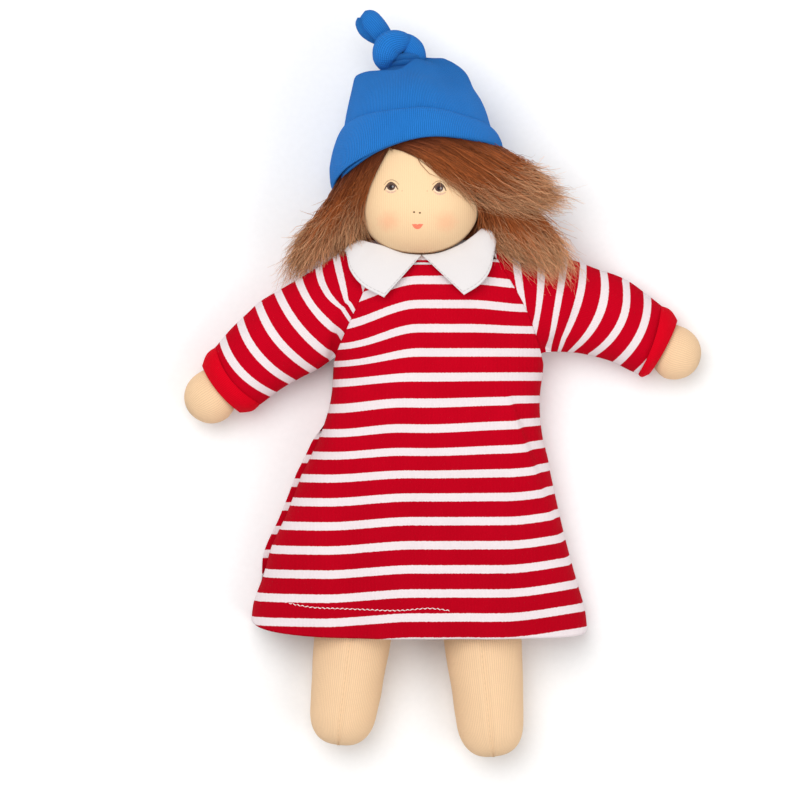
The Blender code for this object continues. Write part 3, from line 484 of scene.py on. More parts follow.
def cottonFinish(name, dark, light):
    # plain woven cotton
    made, n, shader = newFinish(name, Roughness=0.85, Sheen_Weight=0.15, Sheen_Roughness=0.4,
                                Specular_IOR_Level=0.2)
    yarn = 0.0005
    cloth = clothMapNode(n)
    x, y, _ = n.split(cloth)
    warp = n.math("SINE", n.math("MULTIPLY", x, 2 * math.pi / yarn))
    weft = n.math("SINE", n.math("MULTIPLY", y, 2 * math.pi / yarn))
    weave = n.math("MULTIPLY", n.math("ADD", warp, weft), 0.25)
    tone = n.group(clothTone, Map=cloth, Slow=0.4, Fine=0.5)
    n.put(shader.inputs["Base Color"], n.mix(tone["Tone"], (*dark, 1), (*light, 1)))
    bumpOf(n, shader, n.math("ADD", weave, tone["Fuzz"]), 0.00008)
    return made


skinJersey = knitFinish("skinJersey", (0.79, 0.52, 0.30), (0.93, 0.66, 0.42), 0.00130, 0.0010, 0.00020,
                        sheen=0.05, slow=0.20, fine=0.35)
blueRib = knitFinish("blueRibKnit", (0.010, 0.155, 0.54), (0.034, 0.255, 0.74), 0.00108, 0.0009, 0.00050,
                     sheen=0.04, slow=0.45, fine=0.6, groove=0.60)
redRib = knitFinish("redRibKnit", (0.55, 0.0004, 0.008), (0.80, 0.0008, 0.016), 0.0009, 0.0008, 0.00018,
                    sheen=0.0, slow=0.4, fine=0.5)
stripedJersey = stripedFinish("stripedJersey")
# the dark root colour is painted shade under the brim and between the strands
hairWool = woolFinish("woolHair", (0.12, 0.024, 0.006), (0.37, 0.105, 0.028), (0.78, 0.46, 0.25))
whiteCotton = cottonFinish("whiteCotton", (0.68, 0.65, 0.65), (0.79, 0.76, 0.76))
whiteThread = cottonFinish("whiteThread", (0.86, 0.80, 0.80), (0.95, 0.92, 0.92))
# grey thread: the stitches' own thread and the painted shade of the dent they pull into the collar
shadedSeamThread = cottonFinish("shadedSeamThread", (0.52, 0.49, 0.49), (0.64, 0.60, 0.60))
skinThread = cottonFinish("skinThread", (0.62, 0.44, 0.27), (0.78, 0.58, 0.36))
print("finishes made")


# Dress: one front and one back, each cut in one piece from the neckline to the hem
dress = {
    "hemHalfWidth": 0.0938,
    "skirtLength": 0.0920,
    "hemLift": {"left": (0.0095, 2.6), "right": (0.0040, 6.0)},     # at the side, and how it fades inwards
    "neckRise": 0.0034,
    "bodiceLength": 0.1160,
    "seamZ": 0.0150,
    "hemSeamZ": 0.0090,
    "hemDepth": 0.0500,
    "frontPower": 0.62,
    "backPower": 0.40,
    "stripePitch": 0.01344,
    "stripePhase": 0.00932,
    "skirtLeft": ((0, 0.692), (0.28, 0.796), (0.47, 0.876), (0.68, 0.929), (0.87, 0.985), (1, 1.0)),
    "skirtRight": ((0, 0.776), (0.28, 0.836), (0.47, 0.881), (0.68, 0.935), (0.87, 0.985), (1, 1.0)),
    "bodiceLeft": ((0, 0.692), (0.10, 0.630), (0.215, 0.570), (0.353, 0.522), (0.517, 0.506), (1, 0.506)),
    "bodiceRight": ((0, 0.776), (0.07, 0.761), (0.19, 0.726), (0.353, 0.712), (0.53, 0.735), (1, 0.735)),
    "raglanLeft": ((0.517, 0.506), (0.60, 0.475), (0.717, 0.411), (0.86, 0.330), (1, 0.262), (1.09, 0.222)),
    "raglanRight": ((0.517, 0.735), (0.65, 0.690), (0.80, 0.618), (1, 0.475), (1.09, 0.408)),
    "rise": ((0, 1.0), (0.85, 1.0), (1, 0.96)),
    "backCloth": 0.0013,
    # the crease on the right: its middle's picture pixel, direction in degrees, and its size
    "crease": {"pixel": (527, 448), "turn": 20, "height": 0.0030, "soft": 0.0075, "sharp": 0.0013,
               "length": 0.027, "trough": 0.0016},
    # valleys: picture pixel, half width, half length, depth, direction in degrees
    "folds": ((372, 392, 0.020, 0.004, 0.0014, -24), (470, 352, 0.026, 0.005, 0.0012, 12),
              (420, 560, 0.010, 0.050, 0.0014, 0), (350, 470, 0.0022, 0.011, 0.0013, -42)),
    # picture pixels that the hem's visible stitches run through
    "hemStitches": ((267.5, 597), (287, 603), (309, 607), (355, 609), (401, 610), (430, 608), (453, 611)),
    "zigzag": (2.5, 0.65),      # its step and half height, in picture pixels
}


def dressSection(y):
    # left and right half width, side seam height and front height at a place along the doll
    down = np.clip((doll["foldY"] - y) / dress["skirtLength"], 0, 1)
    up = np.clip((y - doll["foldY"]) / dress["bodiceLength"], 0, 1)
    skirt = y < doll["foldY"]
    left = np.where(skirt, curveAt(dress["skirtLeft"], down), curveAt(dress["bodiceLeft"], up))
    right = np.where(skirt, curveAt(dress["skirtRight"], down), curveAt(dress["bodiceRight"], up))
    seam = dress["seamZ"] + (dress["hemSeamZ"] - dress["seamZ"]) * down
    rise = dress["seamZ"] + (doll["dressTopZ"] - dress["seamZ"]) * curveAt(dress["rise"], up)
    top = np.where(skirt, doll["dressTopZ"] + (dress["hemDepth"] - doll["dressTopZ"]) * down, rise)
    return left * dress["hemHalfWidth"], right * dress["hemHalfWidth"], seam, top


def dressZ(x, y, front):
    # height of the dress's front or back
    left, right, seam, top = dressSection(y)
    half = np.where(x < doll["spineX"], left, right)
    level = np.sqrt(np.clip(1 - np.clip(np.abs(x - doll["spineX"]) / half, 0, 1) ** 2, 0, 1))
    if front:
        return seam + (top - seam) * level ** dress["frontPower"]
    return np.maximum(0.0, seam - (seam + 0.0005) * level ** dress["backPower"])


def dressFolds(x, y):
    # soft waves of the front, in metres: hem waves, the crease on the right, and valleys
    down = np.clip((doll["foldY"] - y) / dress["skirtLength"], 0, 1)
    waves = (0.0014 * down * np.cos((x - doll["spineX"]) * 118 + 1.2)
             + 0.0009 * down * np.cos(x * 201 + 0.4))
    crease = dress["crease"]
    cx, cy = overPlan(*crease["pixel"], 0.04)
    turn = math.radians(crease["turn"])
    past = (x - cx) * math.cos(turn) + (y - cy) * math.sin(turn)
    along = (y - cy) * math.cos(turn) - (x - cx) * math.sin(turn)
    width = np.where(past < 0, crease["soft"], crease["sharp"])
    lap = crease["height"] * np.exp(-(past / width) ** 2 - (along / crease["length"]) ** 4)
    trough = crease["trough"] * bump(x, y, cx + 0.0042, cy + 0.0015, 0.0034, 0.030, turn)
    height = waves + lap - trough
    for px, py, wide, long, deep, direction in dress["folds"]:
        height = height - deep * bump(x, y, *overPlan(px, py, 0.05), wide, long, math.radians(direction))
    return height


def stripeWarp(x, y):
    # how far the stripes sag from straight lines, in metres; places and amounts are in picture pixels
    px = (x - view["x"]) / pixelSize + middlePixel
    py = middlePixel - (y - view["y"]) / pixelSize
    sag = 5.5 * smoothStep(412, 325, px)
    sag = sag + 3.0 * smoothStep(400, 340, px) * np.exp(-((py - 425) / 35) ** 2)
    belly = 4.0 * np.exp(-((px - 425) / 62) ** 2 - ((py - 432) / 42) ** 2)
    chest = 16.0 * smoothStep(420, 340, px) * smoothStep(388, 330, py)
    chest = chest + 4.0 * smoothStep(470, 525, px) * smoothStep(350, 300, py)
    # the right side is drawn up from the crease on
    pastCrease = px - 510 - (py - 400) * 0.372
    lifted = 1.5 * smoothStep(-4.0, 5.0, pastCrease) * smoothStep(385, 405, py)
    lifted = lifted + 8.5 * smoothStep(505, 596, px) * smoothStep(390, 450, py)
    return (sag + belly + chest - lifted) * pixelSize


def dressEdge(y, name):
    up = (y - doll["foldY"]) / dress["bodiceLength"]
    left, right, _, _ = dressSection(y)
    full = left if name == "left" else right
    table = dress["raglanLeft"] if name == "left" else dress["raglanRight"]
    raglan = curveAt(table, up) * dress["hemHalfWidth"]
    return np.where(up > table[0][0], np.minimum(full, raglan), full)


def dressPanel(front, rows=150, columns=170):
    share = np.linspace(0, 1, rows)[:, None]
    across = np.linspace(-1, 1, columns)[None, :]
    low, high = doll["foldY"] - dress["skirtLength"], doll["foldY"] + dress["bodiceLength"]
    if front:
        high += dress["neckRise"]
    y = low + (high - low) * share + 0 * across
    down = np.clip((doll["foldY"] - y) / dress["skirtLength"], 0, 1)
    edge = np.where(across < 0, dressEdge(y, "left"), dressEdge(y, "right"))
    left, right, _, _ = dressSection(y)
    full = np.where(across < 0, left, right)
    spread = smoothStep(0.90, 0.99, edge / full)
    reach = edge * (np.sin(across * np.pi / 2) * spread + across * (1 - spread))
    x = doll["spineX"] + reach
    z = dressZ(x, y, front)
    liftLeft, liftRight = (high * np.abs(across) ** fade for high, fade in dress["hemLift"].values())
    y = y + np.where(across < 0, liftLeft, liftRight) * down ** 2
    if front:
        z = z + dressFolds(x, y) * (1 - np.abs(across) ** 4)
        x = x + 0.0010 * np.sign(across) * np.abs(across) ** 12
        # the neckline runs up towards the neck in the middle
        lift = smoothStep(0.96, 1.0, share) * np.exp(-((x - doll["spineX"]) / 0.016) ** 2)
        y = y + 0.0018 * lift
    else:
        # its left side shows beyond the front's
        z = np.maximum(z, 0.0)
        shown = np.where(across < 0, smoothStep(-0.118, -0.095, y) * smoothStep(-0.018, -0.034, y), 0.0)
        x = x - 0.0042 * shown * np.abs(across) ** 20
        flat = shown * smoothStep(0.80, 0.93, np.abs(across))
        z = z * (1 - flat) + (dressSection(y)[2] - 0.0016) * flat
    grid = np.stack([x, y, z], axis=2)
    phase = dress["stripePhase"] + (0 if front else dress["stripePitch"] * 0.45)
    uv = np.stack([x * 1.1, y + (stripeWarp(x, y) if front else 0) + phase], axis=2)
    return grid, uv


def stitchLine(name, points, finish, length=0.0022, gapLength=0.0009, radius=0.00022, lift=0.0):
    # short stitches along a path, each its own little tube, in one mesh
    points = np.asarray(points, float)
    run = np.concatenate([[0], np.cumsum(np.linalg.norm(np.diff(points, axis=0), axis=1))])
    at, sides = 0.0, 6
    vertices, faces, places = [], [], []
    while at + length < run[-1]:
        s = np.linspace(at, at + length, 5)
        path = np.stack([np.interp(s, run, points[:, k]) for k in range(3)], axis=1)
        path[:, 2] += lift * np.sin(np.linspace(0, np.pi, 5))
        heading = np.gradient(path, axis=0)
        heading /= np.linalg.norm(heading, axis=1, keepdims=True)
        across = np.cross(heading, (0.0, 0.0, 1.0))
        across /= np.maximum(np.linalg.norm(across, axis=1, keepdims=True), 1e-9)
        over = np.cross(across, heading)
        size = radius * np.array([0.55, 1.0, 1.1, 1.0, 0.55])
        base = len(vertices)
        for i in range(5):
            for k in range(sides):
                turn = 2 * math.pi * k / sides
                vertices.append(path[i] + (across[i] * math.cos(turn) + over[i] * math.sin(turn)) * size[i])
        for i in range(4):
            for k in range(sides):
                j = (k + 1) % sides
                faces.append((base + i * sides + k, base + i * sides + j, base + (i + 1) * sides + j,
                              base + (i + 1) * sides + k))
                places += [(s[i], k / sides * 0.001), (s[i], (k + 1) / sides * 0.001),
                           (s[i + 1], (k + 1) / sides * 0.001), (s[i + 1], k / sides * 0.001)]
        for i in (0, 4):
            faces.append(tuple(base + i * sides + k for k in range(sides)))
            places += [(s[i], 0.0)] * sides
        at += length + gapLength
    return finishMesh(name, [tuple(v) for v in vertices], faces, places, finish)


frontGrid, frontUv = dressPanel(True)
dressFront = clothSheet("dressFront", frontGrid, doll["jersey"], frontUv, stripedJersey)
backGrid, backUv = dressPanel(False)
backInner = backGrid + np.array((0, 0, dress["backCloth"]))
dressBack = doubleSheet("dressBack", backInner, backGrid, backUv, stripedJersey)

# hem stitches: a small zigzag along the left of the hem
hemLine = dress["hemStitches"]
zigStep, zigHeight = dress["zigzag"]
hemX = np.arange(hemLine[0][0], hemLine[-1][0], zigStep)
zig = np.where(np.arange(len(hemX)) % 2, zigHeight, -zigHeight)
hemX, hemY = overPlan(hemX, curveAt(hemLine, hemX) + zig, 0.045)
hemRow = np.stack([hemX, hemY, dressZ(hemX, hemY, True) + dressFolds(hemX, hemY)], axis=1)
hemStitches = stitchLine("hemStitches", hemRow, whiteThread, 0.0026, 0.0002)

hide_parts("bodice_front", "skirt_front")
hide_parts("bodice_back_left", "bodice_back_right", "skirt_back")
for piece in (dressFront, dressBack, hemStitches):
    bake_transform(piece)
print("dress made")


# Sleeves, cuffs and arms
arms = {
    "shoulderSpread": 0.0530,
    "shoulderDrop": 0.0230,
    "shoulderZ": 0.0225,
    "length": 0.0862,
    "root": 0.0126,
    "hand": 0.0152,
    "depthShare": 0.82,
    "fall": 0.0065,
    "widths": ((0, 1.0), (0.25, 1.01), (0.5, 1.0), (0.7, 0.92), (0.8, 0.89)),
    "angles": {"left": math.radians(180 + 31.9), "right": math.radians(-17.6)},
    # how far an arm bends towards the neck, along its length
    "bend": {"left": ((-0.02, 0), (0.05, 0.0004), (0.062, -0.0004), (0.085, -0.0030)),
             "right": ((-0.02, 0.0030), (0, 0.0045), (0.023, 0.0068), (0.052, 0.0080), (0.066, 0.0062),
                       (0.075, 0.0046), (0.085, 0.0028))},
}
sleeves = {
    "seam": {"left": 0.0678, "right": 0.0712},         # how far from the shoulder the cuff starts
    "end": 0.0793,
    "halfWidth": 0.0245,
    "depthShare": 0.66,
    "ride": 0.0065,
    "seamGap": 0.0002,
    "armpit": 0.56, "top": 1.09,
    "shoulder": {"left": 0.0058, "right": 0.0030},      # rise of the upper edge beside the neck
    "widths": ((0, 1.08), (0.3, 1.05), (0.55, 0.99), (0.8, 0.90), (1, 0.83)),
    "depths": ((0, 1.10), (0.3, 1.06), (0.6, 0.98), (1, 0.90)),
    "cuffWidths": ((0, 0.80), (0.5, 0.78), (1, 0.69)),
    "cuffTilt": {"left": (6.0, 7.0), "right": (1.0, 10.0)},     # lean at its start and end, in degrees
    "pitch": 0.0134,
    # picture pixels in the middle of each white stripe, from the cuff to the shoulder
    "stripes": {
        "left": (((221.5, 337), (237.5, 368), (272, 394)), ((240, 322.5), (259, 356), (288.5, 380.5)),
                 ((259, 306.5), (278, 340), (312.5, 370)), ((278, 292.5), (295, 322), (328, 354.5)),
                 ((298, 278), (311.5, 305), (337.5, 332)), ((318.5, 264.5), (323, 285), (340, 306)),
                 ((336, 257), (343, 287), (350, 322))),
        "right": (((648, 296), (642, 329), (619, 362)), ((626.5, 286), (622, 320), (596, 352.5)),
                  ((604.5, 272), (602, 306), (573, 350)), ((583.5, 261), (578.5, 298), (565, 336)),
                  ((566, 250), (557.5, 303), (549, 352.5)), ((541, 255), (540, 290), (533, 333)),
                  ((514, 245), (517.5, 275), (522.5, 305)), ((492, 250), (494, 272), (498, 287))),
    },
    # valleys: picture pixel, half width, half length, depth, direction in degrees
    "folds": {"left": ((336, 342, 0.0030, 0.0090, 0.0032, -12), (322, 287, 0.0016, 0.0060, 0.0014, 12)),
              "right": ((572, 320, 0.0020, 0.0085, 0.0026, -22), (549, 347, 0.0026, 0.0080, 0.0022, -40))},
    "bow": {"left": 0.0042, "right": 0.0018},       # how far the middle of a stripe lies towards the hand
}


def armFrame(name):
    angle = arms["angles"][name]
    heading = np.array((math.cos(angle), math.sin(angle), 0))
    towardsNeck = np.array((-heading[1], heading[0], 0)) * side[name]
    pivot = np.array((doll["spineX"] + doll["chestLean"] + side[name] * arms["shoulderSpread"],
                      doll["trunkTop"] - arms["shoulderDrop"], arms["shoulderZ"]))
    return pivot, heading, towardsNeck


def armMiddle(name, reach):
    pivot, heading, towardsNeck = armFrame(name)
    drop = arms["fall"] * min(1.0, max(0.0, reach / arms["length"]))
    bend = float(curveAt(arms["bend"][name], reach))
    return pivot + heading * reach + towardsNeck * bend - np.array((0, 0, drop))


def makeArm(name):
    _, _, towardsNeck = armFrame(name)
    root = arms["root"]
    stations = [(-root * math.cos(t), root * math.sin(t)) for t in np.linspace(0.1, 1.45, 8)]
    for share in np.linspace(0, 0.78, 14):
        stations.append((arms["length"] * share, root * float(curveAt(arms["widths"], share))))
    for t in np.linspace(0.27, 0.985, 22) * math.pi:
        stations.append((arms["length"] - arms["hand"] * math.cos(t), arms["hand"] * math.sin(t)))
    count = 72
    grid = np.array([ringPoints(armMiddle(name, reach), towardsNeck, half, half * arms["depthShare"], count)
                     for reach, half in stations])
    grid += normalsOf(grid, True) * (0.0003 * ripple(grid, 0.012, 2.0))[..., None]
    turn = np.arange(count + 1) / count * 2 * math.pi * arms["hand"]
    uv = np.array([[(t, reach) for t in turn] for reach, _ in stations])
    arm = solidBody("arm" + name.title() + "Skin", grid, uv, skinJersey)
    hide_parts("arm_" + name)
    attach(arm, "arm_" + name)


def raglanRing(name, count):
    # the seam that joins a sleeve to the dress, round from its top
    table = dress["raglanLeft"] if name == "left" else dress["raglanRight"]
    angle = 2 * np.pi * np.arange(count) / count
    front = angle <= np.pi
    down = np.where(front, angle / np.pi, 2 - angle / np.pi)
    share = sleeves["top"] - (sleeves["top"] - sleeves["armpit"]) * down
    x = doll["spineX"] + side[name] * (dress["hemHalfWidth"] * curveAt(table, share) + sleeves["seamGap"])
    y = doll["foldY"] + dress["bodiceLength"] * share
    over, under = dressZ(x, y, True), dressZ(x, y, False)
    z = np.where(front, over, under)
    z[0] = (over[0] + under[0]) / 2
    return np.stack([x, y, z], axis=1)


def bowOf(name, count):
    # the upper side of a sleeve's section lies further towards the hand
    rise = np.clip(np.sin(2 * np.pi * np.arange(count) / count), 0, 1)
    return np.outer(sleeves["bow"][name] * rise ** 2, armFrame(name)[1])


def stripeCount(name, reach, over):
    # how many stripes lie between the cuff and a place on the sleeve, counted along the arm
    pivot, heading, towardsNeck = armFrame(name)
    lines = []
    for pixels in sleeves["stripes"][name]:
        places = np.array([overPlan(px, py, 0.030) for px, py in pixels]) - pivot[:2]
        along, beside = places @ heading[:2], places @ towardsNeck[:2]
        bent = np.polyfit(beside, along, 2)
        lines.append(np.polyval(bent, np.clip(over, beside.min() - 0.002, beside.max() + 0.002)))
    lines.insert(0, lines[0] + sleeves["pitch"])
    lines.append(lines[-1] - sleeves["pitch"])
    lines.append(lines[-1] - sleeves["pitch"])
    for k in range(1, len(lines)):
        lines[k] = np.minimum(lines[k], lines[k - 1] - 0.004)
    lines = np.array(lines)
    found = np.empty(reach.shape)
    for index in np.ndindex(reach.shape):
        table = list(zip(-lines[(slice(None), *index)], range(-1, len(lines) - 1)))
        found[index] = curveAt(table, -reach[index])
    return found


def makeSleeve(name, count=120, rows=70):
    pivot, heading, towardsNeck = armFrame(name)
    edge = raglanRing(name, count)
    grid = []
    tubeShares = ((0, 0.0), (0.16, 0.22), (0.32, 0.62), (0.48, 0.94), (0.65, 1.0), (1, 1.0))
    turn = np.arange(count + 1) / count
    upper = np.clip(np.cos(turn[:-1] * 2 * np.pi), 0, 1) ** 2
    for share in np.linspace(0, 1, rows):
        half = sleeves["halfWidth"] * float(curveAt(sleeves["widths"], share))
        deep = sleeves["halfWidth"] * sleeves["depthShare"] * float(curveAt(sleeves["depths"], share))
        ride = sleeves["ride"] * max(0.0, 1 - share)
        middle = armMiddle(name, sleeves["seam"][name] * share) + towardsNeck * ride
        tilt = math.tan(math.radians(sleeves["cuffTilt"][name][0])) * share ** 3
        section = ringPoints(middle, towardsNeck + heading * tilt, half, deep, count) + bowOf(name, count)
        amount = float(curveAt(tubeShares, share))
        rise = sleeves["shoulder"][name] * math.exp(-((share - 0.17) / 0.13) ** 2)
        grid.append(edge * (1 - amount) + section * amount + np.outer(rise * upper, towardsNeck))
    grid = np.array(grid)
    local = grid - pivot
    stripes = stripeCount(name, local @ heading, local @ towardsNeck) * sleeves["pitch"]
    stripes = np.concatenate([stripes, stripes[:, :1]], axis=1)
    around = (turn[None, :] * 2 * math.pi * sleeves["halfWidth"] * 0.85) + 0 * stripes[:, :1]
    uv = np.stack([around, stripes], axis=2)
    calm = np.sin(np.linspace(0, 1, rows) * np.pi)[:, None]
    wrinkle = 0.0010 * ripple(grid * np.array((1, 1, 0.6)), 0.017, 3.0 + side[name]) * calm
    turnOut = outwardOf(grid, True)
    upside = smoothStep(0.0, 0.4, turnOut[..., 2])
    for px, py, wide, long, deep, direction in sleeves["folds"][name]:
        valley = bump(grid[..., 0], grid[..., 1], *overPlan(px, py, 0.035), wide, long,
                      math.radians(direction))
        wrinkle = wrinkle - deep * upside * valley
    grid = grid + turnOut * wrinkle[..., None]
    grid[..., 2] = np.maximum(grid[..., 2], 0.0)
    sleeve = clothSheet("sleeve" + name.title(), grid, doll["jersey"] * 0.8, uv, stripedJersey, closed=True)
    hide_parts("sleeve_" + name)
    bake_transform(sleeve)
    return sleeve


def makeCuff(name, count=144, rows=26):
    _, heading, towardsNeck = armFrame(name)
    grid = []
    first, last = sleeves["seam"][name] - 0.0006, sleeves["end"]
    for share in np.linspace(0, 1, rows):
        half = sleeves["halfWidth"] * float(curveAt(sleeves["cuffWidths"], share))
        swell = 0.0013 * math.sin(math.pi * min(1, 0.15 + share * 0.85))
        tilt = math.tan(math.radians(np.interp(share, (0, 1), sleeves["cuffTilt"][name])))
        ring = ringPoints(armMiddle(name, first + (last - first) * share), towardsNeck + heading * tilt,
                          half + swell, (half + swell) * 0.84, count)
        ring += bowOf(name, count) * (1 - 0.5 * share)
        grid.append(ring)
    grid = np.array(grid)
    turn = np.arange(count + 1) / count * 2 * math.pi * sleeves["halfWidth"] * 0.72
    run = np.linspace(0, last - first, rows)
    uv = np.stack(np.broadcast_arrays(turn[None, :], run[:, None]), axis=2)
    cuff = clothSheet("cuff" + name.title(), grid, doll["rib"], uv, redRib, closed=True)
    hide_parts("cuff_" + name)
    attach(cuff, "arm_" + name)
    return cuff


sleevePieces, cuffPieces = {}, {}
for name in side:
    makeArm(name)
    sleevePieces[name] = makeSleeve(name)
    cuffPieces[name] = makeCuff(name)
print("arms and sleeves made")


# Legs: stuffed tubes with a seam down the front
legs = {
    "halfWidth": 0.0220,
    "halfDepth": 0.0195,
    "spread": 0.0300,
    "z": 0.0216,
    "hipY": -0.08626,
    "lengths": {"left": 0.1175, "right": 0.1235},
    "angles": {"left": math.radians(-90 - 7.5), "right": math.radians(-90 + 5.5)},
    "rootShare": 0.93,
    "widths": ((0, 0.93), (0.25, 0.98), (0.5, 0.98), (0.75, 0.89), (1, 0.80)),
    "tipPower": 2.5,
    "tipShare": 0.17,
    "seamOff": 0.04,        # the seam's angle from straight up
    "seamFrom": 0.045,      # how far from the hip its stitches start to show
}


def makeLeg(name):
    length = legs["lengths"][name]
    angle = legs["angles"][name]
    heading = np.array((math.cos(angle), math.sin(angle), 0))
    sideways = np.array((-heading[1], heading[0], 0))
    pivot = np.array((doll["spineX"] + side[name] * legs["spread"], legs["hipY"], legs["z"]))
    root = legs["halfWidth"] * legs["rootShare"]
    stations = [(-root * math.cos(t), root * math.sin(t)) for t in np.linspace(0.12, 1.5, 8)]
    straight = 1 - legs["tipShare"]
    for share in np.linspace(0, straight, 40):
        stations.append((length * share, legs["halfWidth"] * float(curveAt(legs["widths"], share))))
    for t in np.linspace(0.02, 0.985, 26):
        tip = math.sin(math.pi / 2 * t)
        share = straight + legs["tipShare"] * tip
        half = float(curveAt(legs["widths"], share)) * (1 - tip ** legs["tipPower"]) ** (1 / legs["tipPower"])
        stations.append((length * share, legs["halfWidth"] * half))
    depth = legs["halfDepth"] / legs["halfWidth"]
    count = 96
    grid = np.array([ringPoints(pivot + heading * reach, sideways, half, half * depth, count)
                     for reach, half in stations])
    angleRound = 2 * np.pi * np.arange(count) / count
    # the seam draws the front in a little, and the stuffing makes soft lumps
    off = np.angle(np.exp(1j * (angleRound - np.pi / 2 - legs["seamOff"])))
    groove = -0.0009 * np.exp(-(off / 0.055) ** 2) + 0.0003 * np.exp(-((np.abs(off) - 0.14) / 0.07) ** 2)
    lumps = 0.0005 * ripple(grid, 0.016, 5.0 + side[name])
    turnOut = outwardOf(grid, True)
    reachOf = np.array([reach for reach, _ in stations])
    fade = smoothStep(0.0, 0.02, reachOf)[:, None]
    grid = grid + turnOut * ((groove[None, :] * fade) + lumps)[..., None]
    around = np.arange(count + 1) / count * 2 * math.pi * legs["halfWidth"]
    uv = np.stack(np.broadcast_arrays(around[None, :], reachOf[:, None]), axis=2)
    leg = solidBody("leg" + name.title() + "Skin", grid, uv, skinJersey)
    seamColumn = int(round((np.pi / 2 + legs["seamOff"]) / (2 * np.pi) * count))
    path = grid[reachOf > legs["seamFrom"], seamColumn]
    thread = stitchLine("leg" + name.title() + "Seam", path, skinThread, 0.0016, 0.0014, 0.00016, 0.00005)
    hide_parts("leg_" + name)
    for piece in (leg, thread):
        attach(piece, "leg_" + name)


for name in side:
    makeLeg(name)
print("legs made")


# Trunk, neck and what ties and closes them, all under the dress
trunk = {
    "length": 0.1140,
    "width": 0.0920,
    "depth": 0.0460,
    "seat": 0.0155,
    "power": 2.3,
    "widths": ((0, 1.0), (0.3, 0.97), (0.55, 0.92), (0.8, 0.83), (0.92, 0.70), (1, 0.46)),
    "depths": ((0, 1.0), (0.5, 1.0), (0.8, 0.94), (0.92, 0.80), (1, 0.46)),
    "lean": ((0, 0.15), (0.4, 1.0), (0.75, 1.0), (1, 0.0)),
}
neck = {
    "x": -0.0115, "y": 0.0630, "z": 0.0332,
    "radius": 0.0135,
    "tieRise": 0.0060,
    "tieRadius": 0.0006,
}


def makeTrunk():
    grid, uv = [], []
    count = 96
    turn = np.arange(count + 1) / count * 2 * math.pi * trunk["width"] / 2
    places = [(-trunk["seat"] + 0.0004, 0.90), (-0.0130, 1.0), (-0.008, 1.03)]
    places += [(share * trunk["length"], float(curveAt(trunk["widths"], share)))
               for share in np.linspace(0, 1, 48) ** 0.9]
    for reach, width in places:
        share = max(0.0, reach / trunk["length"])
        lean = doll["chestLean"] * float(curveAt(trunk["lean"], share))
        deep = trunk["depth"] / 2 * (float(curveAt(trunk["depths"], share)) if reach >= 0 else min(1,
                                                                                                   width))
        middle = (doll["spineX"] + lean, doll["foldY"] + reach, doll["trunkZ"])
        half = trunk["width"] / 2 * width
        grid.append(ringPoints(middle, (1, 0, 0), half * 0.995, deep * 0.99, count, trunk["power"]))
        uv.append([(t, reach) for t in turn])
    body = solidBody("trunkSkin", np.array(grid), np.array(uv), skinJersey)
    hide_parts("torso", "seat")
    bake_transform(body)


def makeNeck():
    centre = np.array((neck["x"], neck["y"], neck["z"]))
    grid, uv = [], []
    for t in np.linspace(0.03, 0.97, 30) * math.pi:
        y = -neck["radius"] * math.cos(t)
        half = neck["radius"] * math.sin(t)
        pinch = 0.0012 * math.exp(-((y - neck["tieRise"]) / 0.0014) ** 2)
        grid.append(ringPoints(centre + np.array((0, y, 0)), (1, 0, 0), half - pinch, half - pinch, 64))
        uv.append([(a, y) for a in np.arange(65) / 64 * 0.085])
    body = solidBody("neckSkin", np.array(grid), np.array(uv), skinJersey)
    waist = math.sqrt(neck["radius"] ** 2 - neck["tieRise"] ** 2)
    turns = np.linspace(0, 2 * math.pi, 96, endpoint=False)
    path = np.stack([neck["x"] + waist * np.cos(turns), neck["y"] + neck["tieRise"] + 0 * turns,
                     neck["z"] + waist * np.sin(turns)], axis=1)
    loops = [threadLoop("tie%d" % k, path + np.array((0, (k - 1) * 0.0009, 0)), neck["tieRadius"],
                        skinThread)
             for k in range(3)]
    tie = joinPieces("neckThread", loops)
    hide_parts("neck")
    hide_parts("neck_tie")
    for piece in (body, tie):
        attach(piece, "neck")


def makeBindingAndTape():
    count = 96
    turn = 2 * np.pi * np.arange(count) / count
    base = doll["foldY"] + dress["bodiceLength"] + 0.0012
    rows = []
    for share in np.linspace(0, 1, 12):
        wide, deep = 0.0300 * (1 - share) + 0.0158 * share, 0.0175 * (1 - share) + 0.0158 * share
        rows.append(np.stack([doll["spineX"] + wide * np.cos(turn), base + 0.0006 * np.sin(share * np.pi)
                              + 0 * turn, neck["z"] + deep * np.sin(turn)], axis=1))
    grid = np.array(rows)
    uv = np.stack(np.broadcast_arrays(np.arange(count + 1)[None, :] / count * 0.15,
                                      np.linspace(0, 0.012, 12)[:, None]), axis=2)
    under = grid - np.array((0, 0.0010, 0))
    binding = doubleSheet("neckBinding", grid, under, uv, whiteCotton, closed=True)
    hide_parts("neck_binding")
    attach(binding, "torso")
    ys = np.linspace(doll["trunkTop"] - 0.012, doll["trunkTop"] - 0.072, 60)
    xs = np.linspace(-0.006, 0.006, 12)
    top = np.stack(np.broadcast_arrays(doll["spineX"] + xs[None, :], ys[:, None],
                                       0.0027 + 0.00008 * np.sin(ys * 900)[:, None]), axis=2)
    tapeUv = np.stack(np.broadcast_arrays(xs[None, :], ys[:, None]), axis=2)
    tape = doubleSheet("backTape", top, top - np.array((0, 0, 0.0009)), tapeUv, whiteCotton)
    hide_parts("back_tape")
    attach(tape, "torso")
    return binding, tape


makeTrunk()
makeNeck()
bindingPiece, tapePiece = makeBindingAndTape()
print("trunk made")


# Head: a tied ball with a slight dip at the eye line, and its painted face
head = {
    "x": -0.0120, "y": 0.1200, "z": 0.0466,
    "width": 0.0740, "height": 0.0952, "depth": 0.0760,
    "power": 2.5,
    "eyeDip": 0.0008,
    "cheek": 0.0007,
}


